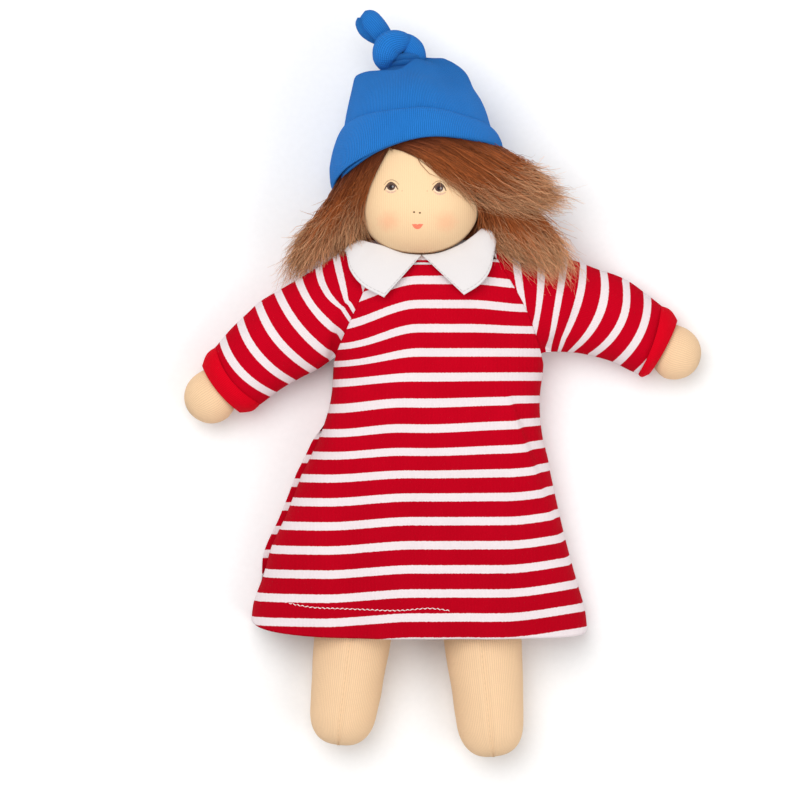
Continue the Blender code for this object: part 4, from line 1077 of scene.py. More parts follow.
def headHalfWidth(y, grow=0.0):
    t = np.clip(np.abs(y - head["y"]) / (head["height"] / 2 + grow), 0, 1)
    return (head["width"] / 2 + grow) * (1 - t ** head["power"]) ** (1 / head["power"])


def faceShape(x, y):
    # small swells of the face, in metres
    eyeY = overPlan(415, 188, 0.08)[1]
    dip = -head["eyeDip"] * np.exp(-((y - eyeY) / 0.009) ** 2)
    swell = head["cheek"] * (bump(x, y, head["x"] - 0.019, head["y"] - 0.024, 0.013, 0.011)
                             + bump(x, y, head["x"] + 0.017, head["y"] - 0.024, 0.013, 0.011))
    return dip + swell


def headFront(x, y, grow=0.0):
    half = np.maximum(headHalfWidth(y, grow), 1e-6)
    depth = half * (head["depth"] / 2 + grow) / (head["width"] / 2 + grow)
    level = np.sqrt(np.clip(1 - ((x - head["x"]) / half) ** 2, 0, 1))
    return head["z"] + depth * level + faceShape(x, y) * level


def makeHead():
    count, rows = 192, 130
    turns = np.linspace(0.03, 0.97, rows) * np.pi
    y = head["y"] - head["height"] / 2 * np.cos(turns)
    half = headHalfWidth(y)
    depth = half * head["depth"] / head["width"]
    angle = 2 * np.pi * np.arange(count) / count
    x = head["x"] + np.outer(half, np.cos(angle))
    z = head["z"] + np.outer(depth, np.sin(angle))
    front = np.clip(np.sin(angle), 0, 1)[None, :]
    z = z + faceShape(x, y[:, None] + 0 * x) * front
    grid = np.stack([x, y[:, None] + 0 * x, z], axis=2)
    around = (np.arange(count + 1) / count) * 2 * np.pi * head["width"] / 2
    uv = np.stack(np.broadcast_arrays(around[None, :], y[:, None]), axis=2)
    made = solidBody("headSkin", grid, uv, headFinish())
    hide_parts("head")
    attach(made, "head")
    return made


def headFinish():
    look = {"dark": (0.83, 0.56, 0.315), "light": (0.95, 0.69, 0.425), "blush": (0.93, 0.36, 0.20)}
    made, n, shader = newFinish("faceJersey", Roughness=0.9, Sheen_Weight=0.04, Sheen_Roughness=0.45,
                                Specular_IOR_Level=0.08)
    place = n.add("ShaderNodeTexCoord").outputs["Object"]
    x, y, z = n.split(place)
    plan = n.join(x, y)
    knit = n.group(knitStitches, Map=plan, Column=0.00115, Row=0.00090, Uneven=0.35)
    tone = n.group(clothTone, Map=plan, Slow=0.2, Fine=0.35)
    body = n.mix(tone["Tone"], (*look["dark"], 1), (*look["light"], 1))
    # painted shade: the knit's grooves are darkened in the skin colour
    body = n.mix(n.math("MULTIPLY", knit["GrooveShade"], 0.24), body, (0.72, 0.48, 0.26, 1))
    front = n.remap(z, head["z"] + 0.005, head["z"] + 0.015)
    for px, py, rx, ry, weight in ((388.5, 221, 11.5, 10.0, 0.38), (446.2, 221.5, 12.5, 10.5, 0.33)):
        cx, cy = overPlan(px, py, 0.078)
        across = n.math("DIVIDE", n.math("SUBTRACT", x, cx), rx * 0.00056)
        up = n.math("DIVIDE", n.math("SUBTRACT", y, cy), ry * 0.00056)
        far = n.math("SQRT", n.math("ADD", n.math("MULTIPLY", across, across), n.math("MULTIPLY", up, up)))
        far = n.math("ADD", far, n.math("MULTIPLY", n.math("SUBTRACT", n.noise(plan, 420.0, 3.0), 0.5),
                                        0.8))
        mask = n.math("MULTIPLY", n.remap(far, 1.35, 0.1), n.math("MULTIPLY", front, weight))
        body = n.mix(mask, body, (*look["blush"], 1))
    n.put(shader.inputs["Base Color"], body)
    bumpOf(n, shader, n.math("ADD", knit["Height"], n.math("MULTIPLY", tone["Fuzz"], 0.5)), 0.00012)
    return made


def facePatch(name, px, py, halfWide, halfHigh, finish, shape=None, lift=0.00012, spokes=40):
    # painted patch: loops of points that lie on the face; sizes in picture pixels
    loops = 7
    cx, cy = overPlan(px, py, 0.08)
    points, places = [(cx, cy, float(headFront(np.array(cx), np.array(cy))) + lift)], [(0.0, 0.0)]
    for i in range(1, loops + 1):
        share = i / loops
        for k in range(spokes):
            angle = 2 * math.pi * k / spokes
            reach = 1.0 if shape is None else shape(angle)
            u, v = math.cos(angle) * share * reach, math.sin(angle) * share * reach
            x, y = cx + u * halfWide * 0.00056, cy + v * halfHigh * 0.00056
            points.append((x, y, float(headFront(np.array(x), np.array(y))) + lift * (1 if share < 1 else 0.2)))
            places.append((u * halfWide * 0.00056, v * halfHigh * 0.00056))
    faces = [(0, 1 + k, 1 + (k + 1) % spokes) for k in range(spokes)]
    for i in range(loops - 1):
        for k in range(spokes):
            a, b = 1 + i * spokes + k, 1 + i * spokes + (k + 1) % spokes
            faces.append((a, a + spokes, b + spokes, b))
    return finishMesh(name, points, faces, [places[v] for face in faces for v in face], finish)


def faceStroke(name, pixels, widths, finish, lift=0.00018):
    # brush stroke through picture pixels, with its width at each of them
    pixels = np.array(pixels, float)
    t = np.linspace(0, len(pixels) - 1, 28)
    px = curveAt(list(enumerate(pixels[:, 0])), t)
    py = curveAt(list(enumerate(pixels[:, 1])), t)
    wide = curveAt(list(enumerate(widths)), t)
    x, y = overPlan(px, py, 0.08)
    heading = np.stack([np.gradient(x), np.gradient(y)], axis=1)
    heading /= np.maximum(np.linalg.norm(heading, axis=1, keepdims=True), 1e-12)
    across = np.stack([-heading[:, 1], heading[:, 0]], axis=1)
    rows = []
    for s in np.linspace(-1, 1, 5):
        sx = x + across[:, 0] * wide * 0.00028 * s
        sy = y + across[:, 1] * wide * 0.00028 * s
        rows.append(np.stack([sx, sy, headFront(sx, sy) + lift * (1 - s * s) + 0.00004], axis=1))
    grid = np.array(rows)
    uv = grid[..., :2]
    faces, corners = quadsOf(5, len(t), False)
    places = [uv[i][j] for corner in corners for i, j in corner]
    return finishMesh(name, grid.reshape(-1, 3).tolist(), faces, places, finish)


irisPaint = paintFinish("irisPaint", (0.060, 0.030, 0.022), (0.15, 0.085, 0.065))
pupilPaint = paintFinish("pupilPaint", (0.012, 0.009, 0.010), (0.03, 0.02, 0.02))
lashPaint = paintFinish("lashPaint", (0.075, 0.045, 0.035), (0.22, 0.13, 0.09))
lidPaint = paintFinish("lidPaint", (0.42, 0.26, 0.15), (0.72, 0.50, 0.31))
lowerLidPaint = paintFinish("lowerLidPaint", (0.66, 0.38, 0.28), (0.84, 0.58, 0.42))
shinePaint = paintFinish("shinePaint", (0.26, 0.24, 0.25), (0.42, 0.40, 0.40))
eyeWhitePaint = paintFinish("eyeWhitePaint", (0.82, 0.61, 0.43), (0.90, 0.70, 0.51))
lipPaint = paintFinish("lipPaint", (0.88, 0.17, 0.10), (0.93, 0.29, 0.17))
dotPaint = paintFinish("dotPaint", (0.10, 0.05, 0.025), (0.20, 0.11, 0.05))

# places in picture pixels: iris, upper lash line, lid line above it, lower lid, gleam
eyes = {
    "left": {
        "iris": (391.1, 186.8), "radius": 4.0,
        "lash": ((384.3, 190.1), (386.4, 186.2), (390.6, 182.9), (395.2, 185.2), (398.0, 189.6)),
        "lid": ((384.2, 184.6), (387.6, 181.0), (392.0, 179.9), (396.0, 181.6), (398.9, 184.8)),
        "lower": ((385.6, 190.4), (388.6, 192.0), (391.6, 192.4), (394.4, 191.8), (396.6, 190.4)),
        "gleam": (392.8, 186.6),
        "corner": (402.0, 191.1),
    },
    "right": {
        "iris": (439.1, 188.3), "radius": 4.0,
        "lash": ((432.4, 190.6), (434.8, 186.6), (439.4, 183.6), (443.6, 186.2), (446.2, 190.9)),
        "lid": ((432.4, 184.9), (435.8, 182.1), (439.8, 181.2), (443.8, 183.2), (446.8, 187.0)),
        "lower": ((433.8, 191.6), (436.8, 193.8), (440.2, 194.4), (443.4, 193.6), (445.8, 191.9)),
        "gleam": (440.7, 188.4),
        "corner": (427.2, 191.3),
    },
}
# the lips' outline round its middle: angle in degrees and reach in pixels
mouth = {
    "middle": (417.5, 226.0),
    "outline": ((-180, 4.4), (-158, 3.6), (-120, 2.9), (-90, 2.9), (-60, 2.9), (-19, 3.7), (5, 4.6),
                (19, 6.1),
                (30, 4.1), (46, 3.1), (68, 2.0), (90, 1.4), (112, 2.0), (136, 3.0), (150, 3.9), (162, 5.9),
                (172, 4.9), (180, 4.4)),
}


def lipShape(angle):
    degrees = (math.degrees(angle) + 180) % 360 - 180
    return float(np.interp(degrees, *zip(*mouth["outline"])))


def makeFace():
    for name, eye in eyes.items():
        ix, iy = eye["iris"]
        r = eye["radius"]
        parts = [
            facePatch("eyeWhite", ix, iy + 1.2, 4.9, 3.2, eyeWhitePaint, lift=0.00006),
            facePatch("iris", ix, iy, r * 1.05, r * 0.92, irisPaint, lift=0.00012),
            facePatch("pupil", ix - 0.2, iy + 0.2, r * 0.5, r * 0.5, pupilPaint, lift=0.00020),
            facePatch("gleam", *eye["gleam"], 1.0, 1.1, shinePaint, lift=0.00028),
            faceStroke("lash", eye["lash"], (0.8, 1.5, 2.2, 1.5, 0.8), lashPaint, 0.0003),
            faceStroke("lid", eye["lid"], (0.5, 0.8, 0.9, 0.8, 0.5), lidPaint),
            faceStroke("lower", eye["lower"], (0.6, 1.3, 1.6, 1.3, 0.6), lowerLidPaint),
            facePatch("corner", *eye["corner"], 0.55, 0.5, lidPaint),
        ]
        made = joinPieces("eye" + name.title(), parts)
        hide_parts("eye_" + name)
        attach(made, "head")
    lips = facePatch("lips", *mouth["middle"], 1.0, 1.0, lipPaint, lipShape, spokes=90)
    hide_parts("mouth")
    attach(lips, "head")
    nose = joinPieces("noseDots", [facePatch("noseLeft", 414.1, 212.2, 1.05, 0.85, dotPaint),
                                   facePatch("noseRight", 419.9, 212.9, 1.05, 0.85, dotPaint)])
    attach(nose, "head")


makeHead()
makeFace()
print("head made")


# Hat: crown, turned-up brim, knot and tail
hat = {
    "knit": 0.0020,
    "inner": 0.0424, "innerDepth": 0.0431,
    "rise": 0.0605,
    "lean": 0.0045,
    "brimTilt": 0.0176, "brimLean": 0.0090, "brimShift": -0.0030, "brimDip": 0.0025,
    "cuffHeight": 0.0172, "cuffLeft": 0.0130, "cuffRight": -0.0060, "cuffBulge": 0.0022,
    "topDrop": 0.0070,
    "leftWidths": ((0, 1.0), (0.2, 0.965), (0.36, 0.92), (0.59, 0.845), (0.78, 0.765), (0.85, 0.71),
                   (0.885, 0.60),
                   (1, 0.5)),
    "rightWidths": ((0, 1.0), (0.2, 0.985), (0.43, 0.895), (0.61, 0.80), (0.73, 0.70), (0.86, 0.635),
                    (0.95, 0.50),
                    (1, 0.36)),
    "depths": ((0, 1.0), (0.2, 1.0), (0.44, 0.95), (0.65, 0.80), (0.78, 0.62), (0.87, 0.42),
               (0.95, 0.28), (1, 0.20)),
}


def brimEdge(turn):
    # how far up the head the brim's lower edge lies, round the head
    dip = hat["brimDip"] * np.exp(-((turn - math.radians(50)) / math.radians(28)) ** 2)
    return hat["brimTilt"] * np.sin(turn) + hat["brimLean"] * np.cos(turn) + hat["brimShift"] - dip


def hatPoint(turn, riseShare, start, grow):
    drop = hat["topDrop"] * smoothStep(0.25, -0.35, np.cos(turn))
    top = head["y"] + hat["rise"] - hat["knit"] + grow - drop
    base = head["y"] + start
    y = base + (top - base) * riseShare
    level = np.clip((y - head["y"]) / hat["rise"], 0, 1)
    toRight = smoothStep(-0.5, 0.5, np.cos(turn))
    size = curveAt(hat["rightWidths"], level) * toRight + curveAt(hat["leftWidths"], level) * (1 - toRight)
    x = head["x"] - hat["lean"] * level ** 2 + (hat["inner"] * size + grow) * np.cos(turn)
    z = head["z"] + (hat["innerDepth"] * curveAt(hat["depths"], level) + grow) * np.sin(turn)
    return x, y, z


def makeHatCrown():
    count, rows, closing = 240, 96, 22
    turn = 2 * np.pi * np.arange(count) / count
    share = np.sin(np.linspace(0, 0.94, rows) * np.pi / 2)[:, None]
    x, y, z = hatPoint(turn[None, :] + 0 * share, share, brimEdge(turn)[None, :], hat["knit"])
    # the top draws in to the knot, in folds that run out of it
    inward = np.linspace(0, 1, closing + 1)[1:, None]
    knotX = head["x"] - 0.0095
    size = 1 - 0.86 * smoothStep(-0.15, 1.05, inward)
    folds = 0.0003 * np.cos(turn * 9 + 0.8) + 0.00015 * np.cos(turn * 14 - 0.4)
    neckUp = smoothStep(0.30, 1.0, inward)
    topX = knotX + (x[-1] - knotX) * size
    topZ = head["z"] + (z[-1] - head["z"]) * size
    topY = y[-1] * (1 - neckUp) + (head["y"] + hat["rise"] + 0.0020) * neckUp + folds[None, :] * np.sin(inward * np.pi)
    x, y, z = np.concatenate([x, topX]), np.concatenate([y, topY]), np.concatenate([z, topZ])
    grid = np.stack([x, y, z], axis=2)
    turnOut = outwardOf(grid, True)
    near = smoothStep(0.35, 0.95, (y - head["y"]) / hat["rise"])
    near[rows:] *= 1 - inward
    lobes = 0.0011 * np.cos(turn * 3 + 0.4) + 0.0007 * np.cos(turn * 5 - 0.9)
    slack = 0.0008 * ripple(grid, 0.020, 9.0) + 0.0003 * ripple(grid, 0.009, 4.0) * near
    grid = grid + turnOut * (lobes[None, :] * near + slack)[..., None]
    # the drawn-in top is eased, so that no fold pinches
    for _ in range(14):
        part = grid[rows - 12:-1]
        beside = (np.roll(part, 1, axis=1) + np.roll(part, -1, axis=1)) / 2
        along = (grid[rows - 13:-2] + grid[rows - 11:]) / 2
        grid[rows - 12:-1] = 0.4 * part + 0.3 * beside + 0.3 * along
    grid[..., 2] = np.maximum(grid[..., 2], 0.0)
    around = np.arange(count + 1) / count * 2 * np.pi * hat["inner"]
    run = np.concatenate([[0], np.cumsum(np.linalg.norm(np.diff(grid[:, 60], axis=0), axis=1))])
    uv = np.stack(np.broadcast_arrays(around[None, :], run[:, None]), axis=2)
    crown = clothSheet("hatCrown", grid, hat["knit"] * 0.9, uv, blueRib, closed=True)
    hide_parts("hat_crown")
    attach(crown, "hat")
    return crown


def makeHatCuff():
    count, rows = 288, 40
    turn = 2 * np.pi * np.arange(count) / count
    low = brimEdge(turn)
    skew = np.where(np.cos(turn) < 0, hat["cuffLeft"] * np.abs(np.cos(turn)) ** 1.6,
                    hat["cuffRight"] * np.cos(turn))
    high = low + hat["cuffHeight"] + skew
    grid = []
    for share in np.linspace(0, 1, rows):
        rise = low + (high - low) * share
        grow = hat["knit"] * (2.0 + 0.45 * math.sin(math.pi * share)) + doll["gap"]
        grow -= 0.0012 * (1 - min(1, share * 6)) ** 2 + 0.0006 * (1 - min(1, (1 - share) * 8)) ** 2
        grow = grow + hat["cuffBulge"] * smoothStep(-0.4, -1.0,
                                                    np.cos(turn)) * math.sin(math.pi * min(1, 0.35 + share * 0.65))
        x, y, z = hatPoint(turn, 0.0 * turn, rise, grow)
        grid.append(np.stack([x, y, np.maximum(z, 0.0)], axis=1))
    grid = np.array(grid)
    around = np.arange(count + 1) / count * 2 * np.pi * hat["inner"]
    rise = np.concatenate([grid[..., 1], grid[:, :1, 1]], axis=1)
    uv = np.stack(np.broadcast_arrays(around[None, :], rise), axis=2)
    cuff = clothSheet("hatCuff", grid, hat["knit"] * 0.95, uv, blueRib, closed=True)
    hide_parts("hat_cuff")
    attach(cuff, "hat")
    return cuff


def makeKnotAndTail():
    middle = np.array((head["x"] - 0.0115, head["y"] + hat["rise"] + 0.0058, head["z"] + 0.0030))

    def wrap(name, path, widths, depths):
        path = np.array(path, float)
        t = np.linspace(0, len(path) - 1, 46)
        line = np.stack([curveAt(list(enumerate(path[:, k])), t) for k in range(3)], axis=1)
        wide = curveAt(list(enumerate(widths)), t)
        deep = curveAt(list(enumerate(depths)), t)
        heading = np.gradient(line, axis=0)
        heading /= np.linalg.norm(heading, axis=1, keepdims=True)
        across = np.cross(heading, (0.0, 0.0, 1.0))
        across /= np.linalg.norm(across, axis=1, keepdims=True)
        over = np.cross(across, heading)
        angle = 2 * np.pi * np.arange(48) / 48
        grid = (line[:, None] + across[:, None] * (np.cos(angle)[None, :, None] * wide[:, None, None])
                + over[:, None] * (np.sin(angle)[None, :, None] * deep[:, None, None]))
        run = np.concatenate([[0], np.cumsum(np.linalg.norm(np.diff(line, axis=0), axis=1))])
        uv = np.stack(np.broadcast_arrays(np.arange(49)[None, :] / 48 * 0.04, run[:, None]), axis=2)
        return solidBody(name, grid, uv, blueRib)

    m = middle
    loops = [
        # the wrap on the left, from over the top down to the crown
        wrap("wrapLeft", [m + (0.0084, 0.0022, -0.001), m + (0.0022, 0.0036, 0.0042),
                          m + (-0.0046, 0.0014, 0.0060),
                          m + (-0.0076, -0.0052, 0.0048), m + (-0.0060, -0.0116, -0.001)],
             (0.0016, 0.0058, 0.0078, 0.0066, 0.0030), (0.0022, 0.0042, 0.0048, 0.0044, 0.0028)),
        # the end that comes out under it to the right
        wrap("wrapRight", [m + (-0.001, 0.0046, -0.003), m + (0.0046, 0.0030, 0.0010),
                           m + (0.0086, -0.0008, 0.0024),
                           m + (0.0112, -0.0046, 0.0012), m + (0.0116, -0.0074, -0.003)],
             (0.0036, 0.0054, 0.0060, 0.0046, 0.0026), (0.0030, 0.0040, 0.0044, 0.0038, 0.0026)),
        # two bands that hold them from below
        wrap("bandUpper", [m + (-0.0030, -0.0058, 0.0034), m + (0.0030, -0.0050, 0.0054),
                           m + (0.0090, -0.0048, 0.0046),
                           m + (0.0144, -0.0046, -0.001)],
             (0.0016, 0.0021, 0.0021, 0.0012), (0.0020, 0.0026, 0.0026, 0.0018)),
        wrap("bandLower", [m + (-0.0040, -0.0090, 0.0016), m + (0.0025, -0.0080, 0.0044),
                           m + (0.0085, -0.0074, 0.0040),
                           m + (0.0138, -0.0064, -0.001)],
             (0.0016, 0.0021, 0.0021, 0.0012), (0.0022, 0.0030, 0.0030, 0.0020)),
        wrap("wrapBack", [m + (-0.010, 0.0010, -0.003), m + (-0.004, 0.0, -0.0052),
                          m + (0.004, -0.001, -0.0052),
                          m + (0.010, -0.001, -0.002)],
             (0.0042, 0.0066, 0.0066, 0.0040), (0.0034, 0.0040, 0.0040, 0.0034)),
    ]
    knot = joinPieces("hatKnot", loops)
    start = m + np.array((-0.0076, 0.0050, -0.0005))
    angle = math.radians(131)
    heading = np.array((math.cos(angle), math.sin(angle), 0))
    beside = np.array((-heading[1], heading[0], 0))
    tail = joinPieces("hatTail", [
        wrap("tailRoll", [start - heading * 0.002, start + heading * 0.004 - beside * 0.0004,
                          start + heading * 0.0105 - beside * 0.0006,
                          start + heading * 0.0150 - beside * 0.0004,
                          start + heading * 0.0185 + beside * 0.0004],
             (0.0050, 0.0062, 0.0066, 0.0060, 0.0030), (0.0034, 0.0042, 0.0046, 0.0042, 0.0022)),
        # its rolled edge on the left
        wrap("tailEdge", [start + heading * 0.0015 + beside * 0.0042,
                          start + heading * 0.0060 + beside * 0.0054,
                          start + heading * 0.0110 + beside * 0.0058,
                          start + heading * 0.0155 + beside * 0.0044,
                          start + heading * 0.0180 + beside * 0.0022],
             (0.0014, 0.0021, 0.0026, 0.0026, 0.0016), (0.0020, 0.0030, 0.0036, 0.0036, 0.0020)),
    ])
    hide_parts("hat_knot")
    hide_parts("hat_tail")
    for piece in (knot, tail):
        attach(piece, "hat")
    return knot, tail


crownPiece = makeHatCrown()
hatCuffPiece = makeHatCuff()
makeKnotAndTail()
print("hat made")


# Collar: two halves from the centre front round to the centre back
# The front places are picture pixels with a height in millimetres; the back ones, from the neck's side round to
# the centre back, are shares of the trunk, which both halves have alike.
collar = {
    "thickness": 0.0011,
    "corner": {"left": (0.0008, 0.0012), "right": (0.0014, 0.0025)},
    "frontInner": {"right": ((422.0, 255.0, 53.5), (441, 252.6, 54.0), (462, 243.8, 52.5),
                             (482, 230.5, 48.5)),
                   "left": ((421.4, 255.0, 53.5), (402, 253.0, 54.0), (381, 245.6, 52.5),
                            (361, 241.5, 48.5))},
    "frontOuter": {"right": ((464, 295, 55.6), (481, 283.5, 54.8), (490.5, 268, 52.2), (494.5, 243, 47.5)),
                   "left": ((384, 297.5, 55.6), (362.5, 285.5, 54.8), (350.5, 270, 52.2),
                            (347.5, 253, 47.5))},
    "backInner": ((0.74, 0.130, 0.08), (0.60, 0.110, -0.26), (0.30, 0.085, -0.44), (0.012, 0.075, -0.46)),
    "backOuter": ((0.92, 0.080, 0.08), (0.78, 0.030, -0.30), (0.42, -0.040, -0.47), (0.012, -0.060, -0.49)),
}


def makeCollar(name):
    rows, columns = 90, 36
    place = np.linspace(0, 7, rows)

    def edge(part):
        points = [(*overPlan(px, py, z / 1000), z / 1000) for px, py, z in collar["front" + part][name]]
        points += [(doll["spineX"] + side[name] * trunk["width"] / 2 * across,
                    doll["trunkTop"] + trunk["length"] * up,
                    doll["trunkZ"] + trunk["depth"] * out) for across, up, out in collar["back" + part]]
        return np.stack([curveAt([(k, point[axis]) for k, point in enumerate(points)], place)
                         for axis in range(3)], axis=1)

    inner, outer = edge("Inner"), edge("Outer")
    over = np.linspace(0, 1, columns)[None, :, None]
    grid = inner[:, None] * (1 - over) + outer[:, None] * over
    grid[..., 2] += 0.0010 * np.sin(over[..., 0] * np.pi) * np.sin(np.clip(place / 3, 0, 1) * np.pi)[:,
                                                                                                     None]
    corner = np.sin(over[..., 0] * np.pi) * np.exp(-((place - 3) / 0.8) ** 2)[:, None]
    grid[..., 0] += side[name] * collar["corner"][name][0] * corner
    grid[..., 1] += collar["corner"][name][1] * corner
    uv = np.stack(np.broadcast_arrays(place[:, None] * 0.014, over[..., 0] * 0.026), axis=2)
    turn = normalsOf(grid, False)
    middle = np.array((doll["spineX"], doll["trunkTop"] - trunk["length"], doll["trunkZ"]))
    if (turn * (grid - middle)).sum() < 0:
        turn = -turn
    top = grid + turn * collar["thickness"]
    half = doubleSheet("collar" + name.title(), top, grid, uv, whiteCotton)
    # edge stitching 1 mm inside the outline, in grey thread that also paints the shade of the dent it stitches
    line = list(top[1, 4:columns - 2] + turn[1, 4:columns - 2] * 0.0001)
    line += list(top[1:60, columns - 3] + turn[1:60, columns - 3] * 0.0001)
    stitches = stitchLine("collar" + name.title() + "Stitches", line, shadedSeamThread, 0.0018, 0.0006, 0.00016)
    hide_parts("collar_" + name)
    for piece in (half, stitches):
        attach(piece, "torso")
    return half, stitches


collarPieces = {name: makeCollar(name) for name in side}
print("collar made")


# Hair: strands from under the brim to the tips, over a dense base on the head.
# Guides run in picture pixels with a height in millimetres; strands fill the fan between them.
hair = {
    "rightOver": (
        ((391, 146, 83.5), (406, 149, 86), (424, 157, 86.5), (444, 173.5, 82), (464, 189, 74.5),
         (494, 202, 62), (530, 208, 53)),
        ((399, 141, 85), (424, 148, 87), (450, 163, 84.5), (476, 182, 74.5), (502, 196, 63),
         (530, 204.5, 54), (556, 206, 49)),
        ((416, 135, 86.5), (444, 144, 87), (472, 160, 81), (498, 178, 69.5), (522, 191, 59),
         (543, 199, 52), (562, 203, 47.5)),
        ((440, 134, 85), (466, 145, 83), (492, 160, 73), (514, 175, 62.5), (534, 187, 54.5),
         (549, 194, 49.5), (560, 198.5, 46)),
        ((468, 136, 75), (490, 147, 68), (508, 159, 61), (523, 171, 55), (535, 181, 50.5),
         (545, 190, 47), (553, 196, 44.5)),
        ((486, 141, 60), (500, 150, 57), (513, 159, 53), (524, 169, 49.5), (533, 178, 47),
         (541, 185, 45), (548, 191, 43)),
    ),
    "rightUnder": (
        ((460, 180, 77.5), (470, 192, 71.5), (476.5, 205, 61), (479.5, 219, 50),
         (486, 233, 43), (502, 246, 45.5), (530, 262, 48.5)),
        ((470, 180, 74.5), (481, 195, 66), (488, 211, 55), (495, 226, 48.5),
         (507, 240, 48), (522, 253, 49.5), (543, 266, 48.5)),
        ((480, 180, 68), (495, 197, 58.5), (506, 214, 53), (517, 230, 50.5), (529, 244, 50),
         (541, 256, 49), (553, 270, 47)),
        ((490, 182, 60), (507, 199, 53.5), (521, 214, 50.5), (533, 229, 49), (544, 243, 48.5),
         (553, 256, 47.5), (562, 272, 46)),
        ((500, 186, 54), (518, 200, 49.5), (533, 211, 47.5), (544, 224, 46.5), (553, 238, 46),
         (562, 252, 45.5), (571, 270, 44.5)),
    ),
    "left": (
        ((390, 143, 83), (377.5, 163, 80), (367.5, 182, 74), (359.5, 200, 67), (356.5, 219, 58.5),
         (362, 235, 48),
         (370, 249, 38)),
        ((382, 147, 81), (373, 166, 77.5), (363, 188, 70), (355, 209, 61), (351, 227, 52.5),
         (352, 240, 44), (356, 253, 34)),
        ((368, 156, 75), (357, 176, 69), (348, 197, 61), (340, 217, 54.5), (335, 234, 46.5),
         (334, 247, 38), (334, 259, 30)),
        ((357, 166, 68), (346, 186, 65), (337, 205, 56), (328, 223, 49), (320, 238, 42),
         (315, 252, 35), (311, 265, 28)),
        ((345, 172, 59), (337, 191, 55), (328, 210, 48), (319, 227, 43), (311, 242, 38),
         (304, 255, 32), (298, 270, 26)),
        ((341, 179, 48), (332, 196, 46), (323, 213, 42), (314, 229, 38), (305, 244, 34),
         (296, 260, 29), (288, 278, 24)),
    ),
    "strands": {"left": 3900, "rightOver": 2100, "rightUnder": 1900},
    "wisps": {"left": 1700, "rightOver": 1150, "rightUnder": 950},
    "clumps": {"left": 90, "rightOver": 60, "rightUnder": 56},
    "radius": 0.00020, "wispRadius": 0.00013,
    "segments": 8, "wispSegments": 14,
    "frizz": 0.0018,
    "fray": 0.0034,
}


def pushOut(points, clearance):
    # lifts points that would lie inside the head to just over it
    rel = points - np.array((head["x"], head["y"], head["z"]))
    t = np.clip(np.abs(rel[..., 1]) / (head["height"] / 2 + clearance), 0, 1)
    half = (head["width"] / 2 + clearance) * (1 - t ** head["power"]) ** (1 / head["power"])
    deep = half * (head["depth"] / 2 + clearance) / (head["width"] / 2 + clearance)
    size = np.sqrt((rel[..., 0] / np.maximum(half, 1e-6)) ** 2 + (rel[..., 2] / np.maximum(deep,
                                                                                           1e-6)) ** 2)
    inside = (size < 1) & (t < 0.999)
    factor = np.where(inside, 1 / np.maximum(size, 0.05), 1.0)
    rel[..., 0] *= factor
    rel[..., 2] *= factor
    return rel + np.array((head["x"], head["y"], head["z"]))


def strandMesh(name, lines, sizes, tones, finish, reach=1.0):
    # every line becomes a thin three-sided tube; the map holds its tone and its place along the strand
    count, steps, _ = lines.shape
    heading = np.gradient(lines, axis=1)
    heading /= np.maximum(np.linalg.norm(heading, axis=2, keepdims=True), 1e-12)
    across = np.cross(heading, np.array((0.0, 0.0, 1.0)))
    across /= np.maximum(np.linalg.norm(across, axis=2, keepdims=True), 1e-9)
    over = np.cross(across, heading)
    place = np.linspace(0, 1, steps)
    thin = np.interp(place, (0, 0.1, 0.7, 1.0), (0.8, 1.0, 0.9, 0.25))
    points = []
    for k in range(3):
        turn = 2 * np.pi * k / 3 + np.pi / 2
        offset = across * np.cos(turn) + over * np.sin(turn)
        points.append(lines + offset * (sizes[:, None] * thin[None, :])[..., None])
    points = np.stack(points, axis=2).reshape(-1, 3)
    base = (np.arange(count) * steps * 3)[:, None, None] + (np.arange(steps - 1) * 3)[None, :, None]
    ring = np.arange(3)[None, None, :]
    following = (np.arange(3) + 1) % 3
    quads = np.stack([base + ring, base + following[None, None, :], base + 3 + following[None, None, :],
                      base + 3 + ring], axis=3).reshape(-1, 4)
    mesh = bpy.data.meshes.new(name)
    mesh.vertices.add(len(points))
    mesh.vertices.foreach_set("co", points.astype(np.float32).ravel())
    mesh.loops.add(quads.size)
    mesh.loops.foreach_set("vertex_index", quads.astype(np.int32).ravel())
    mesh.polygons.add(len(quads))
    mesh.polygons.foreach_set("loop_start", np.arange(0, quads.size, 4, dtype=np.int32))
    mesh.update(calc_edges=True)
    strandOf = quads // (steps * 3)
    stepOf = (quads % (steps * 3)) // 3
    layer = mesh.uv_layers.new(name="OFBake")
    uv = np.stack([0.02 + 0.96 * tones[strandOf], 0.02 + 0.96 * reach * stepOf / (steps - 1)], axis=2)
    layer.uv.foreach_set("vector", uv.astype(np.float32).ravel())
    mesh.materials.append(finish)
    mesh.shade_smooth()
    made = bpy.data.objects.new(name, mesh)
    bpy.context.scene.collection.objects.link(made)
    return made


def through(rows, at):
    # smooth curves through rows of points, at places counted in points
    slopes = np.gradient(rows, axis=1)
    low = np.clip(at.astype(int), 0, rows.shape[1] - 2)
    t = (at - low)[..., None]

    def pick(table, k):
        return np.take_along_axis(table, (low + k)[..., None], axis=1)

    return (pick(rows, 0) * (2 * t ** 3 - 3 * t ** 2 + 1) + pick(slopes, 0) * (t ** 3 - 2 * t ** 2 + t)
            + pick(rows, 1) * (3 * t ** 2 - 2 * t ** 3) + pick(slopes, 1) * (t ** 3 - t ** 2))


